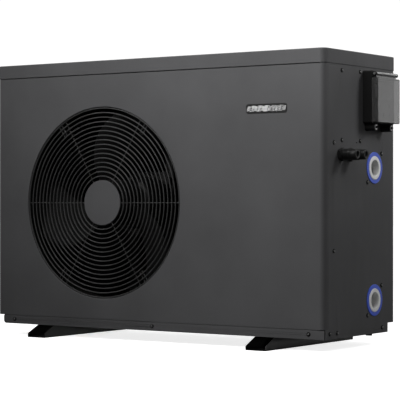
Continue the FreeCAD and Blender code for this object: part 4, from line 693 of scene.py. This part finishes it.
def fan_wheel():
    """Three swept blades with aerofoil sections on a cup-shaped hub."""
    blade_count, tip_r, hub_r, hub_y0, hub_depth = 3, 205 * MM, 52 * MM, -122 * MM, 58 * MM
    # from root to tip: chord in millimetres, pitch and sweep in degrees
    stations = [(62, 44, -6), (104, 35, 2), (138, 27, 12), (152, 22, 24)]
    spans, chords, root_r = 26, 22, 47 * MM
    bm = bmesh.new()
    for blade in range(blade_count):
        loops = []
        for i in range(spans + 1):
            share = i / spans
            r = root_r + (tip_r - root_r) * share
            chord, pitch, sweep = blend_stations(stations, share)
            tip_trim = 1 - 0.10 * max(0.0, share - 0.85) / 0.15
            chord *= MM * tip_trim
            pitch, sweep = math.radians(pitch), math.radians(sweep + 120 * blade)
            loop = []
            for k in range(2 * chords):
                t = k / chords if k <= chords else 2 - k / chords
                side = 1 if k <= chords else -1
                along = (t - 0.5) * chord
                thick = (0.45 + 1.1 * math.sqrt(max(t * (1 - t), 0)) * (1.4 - 0.8 * t)) * MM
                lift = 0.28 * chord * t * (1 - t) + (side * thick if 0 < k < chords or k > chords else 0)
                x = along * math.cos(pitch) + lift * math.sin(pitch)
                y = along * math.sin(pitch) - lift * math.cos(pitch)
                angle = math.pi / 2 - sweep - x / r
                loop.append(fan_point(r, angle, FAN.y + y))
            loops.append(loop)
        loft(bm, loops)
    bore_r, boss_r, boss_end = 6.2 * MM, 14 * MM, 43 * MM
    dish, inside_y, inside_r = 4 * MM, 7 * MM, hub_r - 3 * MM
    hub = rounded([(boss_r, dish, 0), (30 * MM, dish, 2 * MM), (33 * MM, 0, 2 * MM), (hub_r, 0, 10 * MM),
                   (hub_r, hub_depth, 1 * MM), (inside_r, hub_depth, 1 * MM),
                   (inside_r, inside_y, 3 * MM), (boss_r, inside_y, 1 * MM), (boss_r, boss_end, 1 * MM),
                   (bore_r, boss_end, 0), (bore_r, dish, 0)], 5)
    lathe(bm, hub, Vector((FAN.x, hub_y0, FAN.z)), Y_AXIS, steps=96, closed=True)
    for k in range(6):
        spin = Matrix.Rotation(math.radians(60 * k + 30), 4, "Y")
        turn = Matrix.Translation(FAN) @ spin @ Matrix.Translation(-FAN)
        before = set(bm.verts)
        rounded_box(bm, (FAN.x + 13 * MM, hub_y0 + 6 * MM, FAN.z - 1.2 * MM),
                    (FAN.x + hub_r - 2 * MM, hub_y0 + 36 * MM, FAN.z + 1.2 * MM), 0.4 * MM)
        bmesh.ops.transform(bm, matrix=turn, verts=[v for v in bm.verts if v not in before])
    make_piece("fan_wheel", bm, "fan", "fan_plastic", ["fan_impeller"], sharp=40)


# ---------------------------------------------------------------- evaporator
def evaporator():
    """Real fins along the L-shaped block, and the tubes that pass through them."""
    low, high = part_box("evaporator_fins")
    bend_in, wave_h = 20 * MM, 0.22 * MM
    bend_out = COIL_DEPTH + bend_in
    turn_at = Vector((low.x + bend_out, high.y - bend_out, 0))
    rear_len = high.x - turn_at.x
    left_len = turn_at.y - low.y

    def place(distance, radius):
        """A point at a distance along the block and a radius from the bend's centre line."""
        mid_r = bend_out - COIL_DEPTH / 2
        if distance < rear_len:
            return Vector((high.x - distance, turn_at.y + radius, 0))
        arc = (distance - rear_len) / mid_r
        if arc < math.pi / 2:
            return turn_at + Vector((-math.sin(arc), math.cos(arc), 0)) * radius
        return Vector((turn_at.x - radius, turn_at.y - (distance - rear_len - mid_r * math.pi / 2), 0))
    total = rear_len + left_len + (bend_out - COIL_DEPTH / 2) * math.pi / 2
    count = int(total / FIN_PITCH)
    shares = [k / 6 for k in range(7)]
    bm = bmesh.new()
    for i in range(count):
        at = FIN_PITCH * (i + 0.5)
        front, back = [], []
        for k, share in enumerate(shares):
            wave = wave_h * (1 if k % 2 else -1)
            radius = bend_out - COIL_DEPTH * share
            front.append(place(at + wave - FIN_T / 2, radius))
            back.append(place(at + wave + FIN_T / 2, radius))
        outline = front + back[::-1]
        loft(bm, [[p + Z_AXIS * z for p in outline] for z in (low.z, high.z)])
    make_piece("evaporator_fin_pack", bm, "casing", "fin_aluminium", ["evaporator_fins"], sharp=20)
    bm = bmesh.new()
    tube_r = 4 * MM
    for a, b in solids_of("evaporator_tubes"):
        if a.y > low.y:
            continue
        radius = turn_at.x - (a.x + b.x) / 2
        for z in (a.z + tube_r, b.z - tube_r):
            steps = [total - (total - rear_len) * k / 14 for k in range(15)] + [0.5 * rear_len, 0]
            tube(bm, [place(s, radius) + Z_AXIS * z for s in steps], tube_r, 10)
    make_piece("evaporator_tube_runs", bm, "casing", "fin_aluminium", sharp=50)


# ---------------------------------------------------------------- screws, glands and marks
def washer(bm, place, axis, radius, thick, hole_r):
    """A flanged washer with a rounded rim, flat on the sheet."""
    profile = rounded([(hole_r, 0, 0), (radius - 0.1 * MM, 0, 0), (radius, thick * 0.5, 0.15 * MM),
                       (radius - 0.4 * MM, thick, 0.3 * MM), (hole_r, thick, 0.1 * MM)], 3)
    lathe(bm, profile, place, axis, steps=40, closed=True)


def screw_head(bm, place, axis, radius, height):
    """A domed head with a cross recess, and its shank behind the sheet."""
    recess = 1.2 * MM
    profile = [(0, 0)] + rounded([(radius, 0, 0), (radius, height, 0.7 * MM),
                                  (radius * 0.62, height, 0.2 * MM),
                                  (radius * 0.34, height - recess, 0.2 * MM), (0, height - recess, 0)], 4)

    def cross(h, angle):
        return radius * 0.2 * math.cos(4 * angle) if h > height - recess / 2 else 0
    lathe(bm, profile, place, axis, steps=40, ridge=cross)
    shank_r = 1.8 * MM
    tube(bm, [place - axis * 6.5 * MM, place - axis * 3 * MM, place + axis * 0.2 * MM], shank_r, 10)


def casing_screws():
    """Black washers with dark heads; the control box's lugs have steel washers with black heads."""
    washers, heads, lug_washers, lug_heads = (bmesh.new() for _ in range(4))
    lug_z, side_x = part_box("control_base")[0].z + 8 * MM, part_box("right_side_panel")[1].x
    for low, high in solids_of("casing_screws"):
        size, middle = high - low, (low + high) / 2
        is_lug = abs(middle.z - lug_z) < 1 * MM and low.x > side_x
        index = 0 if is_lug else max(range(3), key=lambda i: size[i])
        axis = Vector((0, 0, 0))
        axis[index] = 1 if middle[index] > 0 else -1
        tip = high[index] if axis[index] > 0 else low[index]
        place = middle.copy()
        place[index] = tip - axis[index] * (3.2 if is_lug else 3.4) * MM
        if is_lug:
            washer(lug_washers, place, axis, radius=5.6 * MM, thick=1.0 * MM, hole_r=2.4 * MM)
            screw_head(lug_heads, place + axis * 0.9 * MM, axis, radius=3.0 * MM, height=2.3 * MM)
        else:
            washer(washers, place, axis, radius=sorted(size)[1] / 2, thick=0.9 * MM, hole_r=1.5 * MM)
            screw_head(heads, place + axis * 0.8 * MM, axis, radius=2.1 * MM, height=1.9 * MM)
    make_piece("sheet_screw_washers", washers, "casing", "grommet_rubber")
    make_piece("sheet_screw_heads", heads, "casing", "dark_screw", ["casing_screws"])
    make_piece("lug_screw_washers", lug_washers, "casing", "plain_steel")
    make_piece("lug_screw_heads", lug_heads, "casing", "grommet_rubber")


def gland_caps():
    """Domed sealing nuts with grip ridges and a grey rubber seal; their hexagon bodies stay as CAD."""
    bore, seal_r, grip_len, skirt_r, seat = 6.5 * MM, 8.9 * MM, 15 * MM, 9.4 * MM, 19 * MM
    caps, seals = bmesh.new(), bmesh.new()
    for low, high in solids_of("gland_caps"):
        length, half = high.x - low.x, (high.y - low.y) / 2
        grip_r, dome_r = half - 1.1 * MM, half - 1.8 * MM
        place = Vector((low.x, (low.y + high.y) / 2, (low.z + high.z) / 2))
        profile = rounded([(skirt_r, 0, 0), (grip_r, 0, 0.8 * MM), (grip_r, grip_len, 1.2 * MM),
                           (dome_r, grip_len + 1.5 * MM, 0.8 * MM), (dome_r, length, 4 * MM),
                           (seal_r + 0.2 * MM, length, 0.3 * MM), (seal_r, length - 0.8 * MM, 0.2 * MM),
                           (seal_r, seat, 0.5 * MM), (skirt_r, seat, 0)], 5)

        def ridge(height, angle):
            fade = min(1.0, max(0.0, min(height - 1 * MM, grip_len - height) / (1.5 * MM)))
            return 0.5 * MM * fade * max(-0.2, math.cos(18 * angle))
        for ring, (r, h) in zip(lathe(caps, profile, place, X_AXIS, steps=144, closed=True), profile):
            if r < grip_r - 0.3 * MM:
                continue
            for k, vert in enumerate(ring):
                out = Vector((0, vert.co.y - place.y, vert.co.z - place.z)).normalized()
                vert.co += out * ridge(h, 2 * math.pi * k / len(ring))
        seal_low, seal_high = 21 * MM, length - 0.5 * MM
        seal = rounded([(bore, seal_low, 0.5 * MM), (seal_r, seal_low, 0.2 * MM),
                        (seal_r, seal_high, 0.5 * MM), (bore, seal_high, 0.8 * MM)], 4, closed=True)
        lathe(seals, seal, place, X_AXIS, steps=64, closed=True)
    make_piece("gland_domes", caps, "casing", "gland_plastic", ["gland_caps"], sharp=50)
    make_piece("gland_seals", seals, "casing", "button_rubber")


def symbol(name, node, strokes):
    """A raised mark on a button; each stroke is a line of (across, up) points in millimetres."""
    low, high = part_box(node)
    middle = (low + high) / 2
    bm = bmesh.new()
    face_x = high.x - 0.05 * MM
    for stroke in strokes:
        line = [Vector((face_x, middle.y + a * MM, middle.z + b * MM)) for a, b in stroke]
        tube(bm, line, 0.28 * MM, 8)
    make_piece(name, bm, node + "_body", "socket_white")


def arc(radius, start, end, steps=14):
    return [(radius * math.cos(math.radians(start + (end - start) * k / steps)),
             radius * math.sin(math.radians(start + (end - start) * k / steps))) for k in range(steps + 1)]


def control_marks():
    """Raised symbols on the buttons and a column of plain indicator marks on the display."""
    symbol("mark_power", "button_power", [arc(1.9, 125, 415), [(0, 0.6), (0, 1.6), (0, 2.6)]])
    symbol("mark_mode", "button_mode", [[(-1.8, 1.2), (0, 1.2), (1.8, 1.2)], [(-1.8, 0), (0, 0), (1.8, 0)],
                                        [(-1.8, -1.2), (0, -1.2), (1.8, -1.2)]])
    symbol("mark_up", "button_up", [[(-1.8, -0.9), (-0.05, 1.0), (0.05, 1.0), (1.8, -0.9)]])
    symbol("mark_down", "button_down", [[(-1.8, 0.9), (-0.05, -1.0), (0.05, -1.0), (1.8, 0.9)]])
    low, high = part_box("display_lens")
    bm = bmesh.new()
    column_y = low.y + 4 * MM
    for i in range(4):
        centre = Vector((high.x - 0.1 * MM, column_y, low.z + (6 + 7 * i) * MM))
        ring = [centre + Vector((0, a * MM, b * MM)) for a, b in arc(2.3, 0, 350, 16)]
        tube(bm, ring, 0.45 * MM, 8)
        if i % 2:
            bead(bm, centre, (0.3 * MM, 1.0 * MM, 1.0 * MM))
    make_piece("display_marks", bm, "casing", "socket_white")


# ---------------------------------------------------------------- carried-over CAD nodes
EDGE_WIDTHS = {
    "foot_left": 0.7, "foot_right": 0.7, "base_tray": 0.35, "right_side_panel": 0.25, "left_side_panel": 0.25,
    "rear_panel": 0.25, "control_base": 0.5, "display_module": 0.35, "display_lens": 0.15, "flip_cover": 0.25,
    "guard_clips": 0.3, "electrical_box": 0.3, "electrical_box_lid": 0.3, "motor_bracket": 0.4,
    "partition_plate": 0.3, "evaporator_end_plates": 0.25, "terminal_block": 0.4, "valve_coil": 0.5,
    "control_board": 0.2, "compressor_terminal_cover": 0.4, "gland_bodies": 0.3, "gland_locknuts": 0.4,
    "fan_nut": 0.3,
}


def dress_frame():
    """Every CAD node gets its slot's material, and the sheet and moulded parts get soft edges."""
    for name, node in frame["nodes"].items():
        slot = node.data.materials[0].name
        node.data.materials[0] = MATERIALS[slot]
        if node.hide_render:
            continue
        node.data.polygons.foreach_set("use_smooth", [True] * len(node.data.polygons))
        if name in EDGE_WIDTHS:
            soft_edges(node, EDGE_WIDTHS[name] * MM, weld=True)


# ---------------------------------------------------------------- studio
FLOOR_GLOW, FLOOR_BOUNCE = 0.80, 0.16
SKY_FRONT, SKY_TOP, SKY_BEHIND = 0.12, 0.26, 0.85


def floor():
    """A plain pale floor: white to the eye, while little light bounces back from it."""
    bm = bmesh.new()
    bmesh.ops.create_grid(bm, x_segments=4, y_segments=4, size=15)
    mesh = bpy.data.meshes.new("floor")
    bm.to_mesh(mesh)
    bm.free()
    plane = bpy.data.objects.new("floor", mesh)
    bpy.context.scene.collection.objects.link(plane)
    material, tree, shader, out, coords = start_material("Floor")
    tone = mix(tree, ramp(tree, noise(tree, coords, 2.0), 0.3, 0.7), grey(0.86), grey(0.90))
    finish_surface(tree, shader, tone, ramp(tree, noise(tree, coords, 9.0), 0.3, 0.7, 0.8, 0.9), [])
    shader.inputs["Specular IOR Level"].default_value = 0.1
    shader.inputs["Emission Color"].default_value = grey(1.0)
    shader.inputs["Emission Strength"].default_value = FLOOR_GLOW
    dull = add(tree, "BsdfDiffuse", {"Color": grey(FLOOR_BOUNCE)})
    seen = add(tree, "LightPath").outputs["Is Camera Ray"]
    both = add(tree, "MixShader", {0: seen, 1: dull.outputs[0], 2: shader.outputs[0]})
    tree.links.new(both.outputs[0], out.inputs["Surface"])
    mesh.materials.append(material)


def soft_light(name, place, target, size, power, spread):
    """A softbox aimed at a point, its beam fading out over the spread angle."""
    light = bpy.data.lights.new(name, "AREA")
    light.shape = "RECTANGLE"
    light.size, light.size_y = size
    light.energy = power
    light.spread = math.radians(spread)
    lamp = bpy.data.objects.new(name, light)
    lamp.location = place
    lamp.rotation_euler = (Vector(target) - Vector(place)).to_track_quat("-Z", "Y").to_euler()
    lamp.visible_camera = False
    bpy.context.scene.collection.objects.link(lamp)


def world():
    """White backdrop to the eye; as a light it is bright behind and overhead, and dim in front."""
    made = bpy.data.worlds.new("Studio")
    made.use_nodes = True
    tree = made.node_tree
    tree.nodes.clear()
    ray = add(tree, "TexCoord").outputs["Generated"]
    split = add(tree, "SeparateXYZ", {0: ray})
    behind = ramp(tree, split.outputs["Y"], 0.40, 0.80, 0.0, SKY_BEHIND)
    overhead = ramp(tree, split.outputs["Z"], 0.1, 0.9, SKY_FRONT, SKY_TOP)
    strength = plus(tree, behind, overhead)
    dim = add(tree, "Background", {"Color": grey(1.0), "Strength": strength})
    white = add(tree, "Background", {"Color": grey(1.0), "Strength": 1.05})
    seen = add(tree, "LightPath").outputs["Is Camera Ray"]
    both = add(tree, "MixShader", {0: seen, 1: dim.outputs[0], 2: white.outputs[0]})
    add(tree, "OutputWorld", {"Surface": both.outputs[0]})
    bpy.context.scene.world = made


def camera():
    """The viewing angle: low, from the front and the service side, with a long lens."""
    data = bpy.data.cameras.new("camera")
    data.lens, data.sensor_width = 151.5, 36
    data.clip_start, data.clip_end = 0.05, 60
    view = bpy.data.objects.new("camera", data)
    view.location = (2.1915, -3.1221, 0.3131)
    view.rotation_euler = (math.radians(90), 0, math.radians(34.691))
    bpy.context.scene.collection.objects.link(view)
    bpy.context.scene.camera = view


top_cover()
front_panel()
badge()
fan_guard()
guard_hub()
fan_orifice()
fan_wheel()
evaporator()
casing_screws()
gland_caps()
control_marks()
dress_frame()
floor()
world()
soft_light("key", (-1.6, -2.6, 2.1), (0.50, -0.15, 1.30), size=(0.9, 0.9), power=19, spread=60)
soft_light("top", (0.42, -0.75, 1.25), (0.30, -0.15, 0.60), size=(0.9, 0.5), power=5.8, spread=130)
soft_light("low", (0.47, -0.65, 0.012), (-0.10, 0.17, 0.012), size=(0.8, 0.014), power=0.05, spread=2)
soft_light("side", (1.7, 0.9, 1.6), (0.44, 0.34, 0.98), size=(0.6, 0.6), power=3.9, spread=56)
camera()
bpy.context.scene.view_settings.view_transform = "Standard"
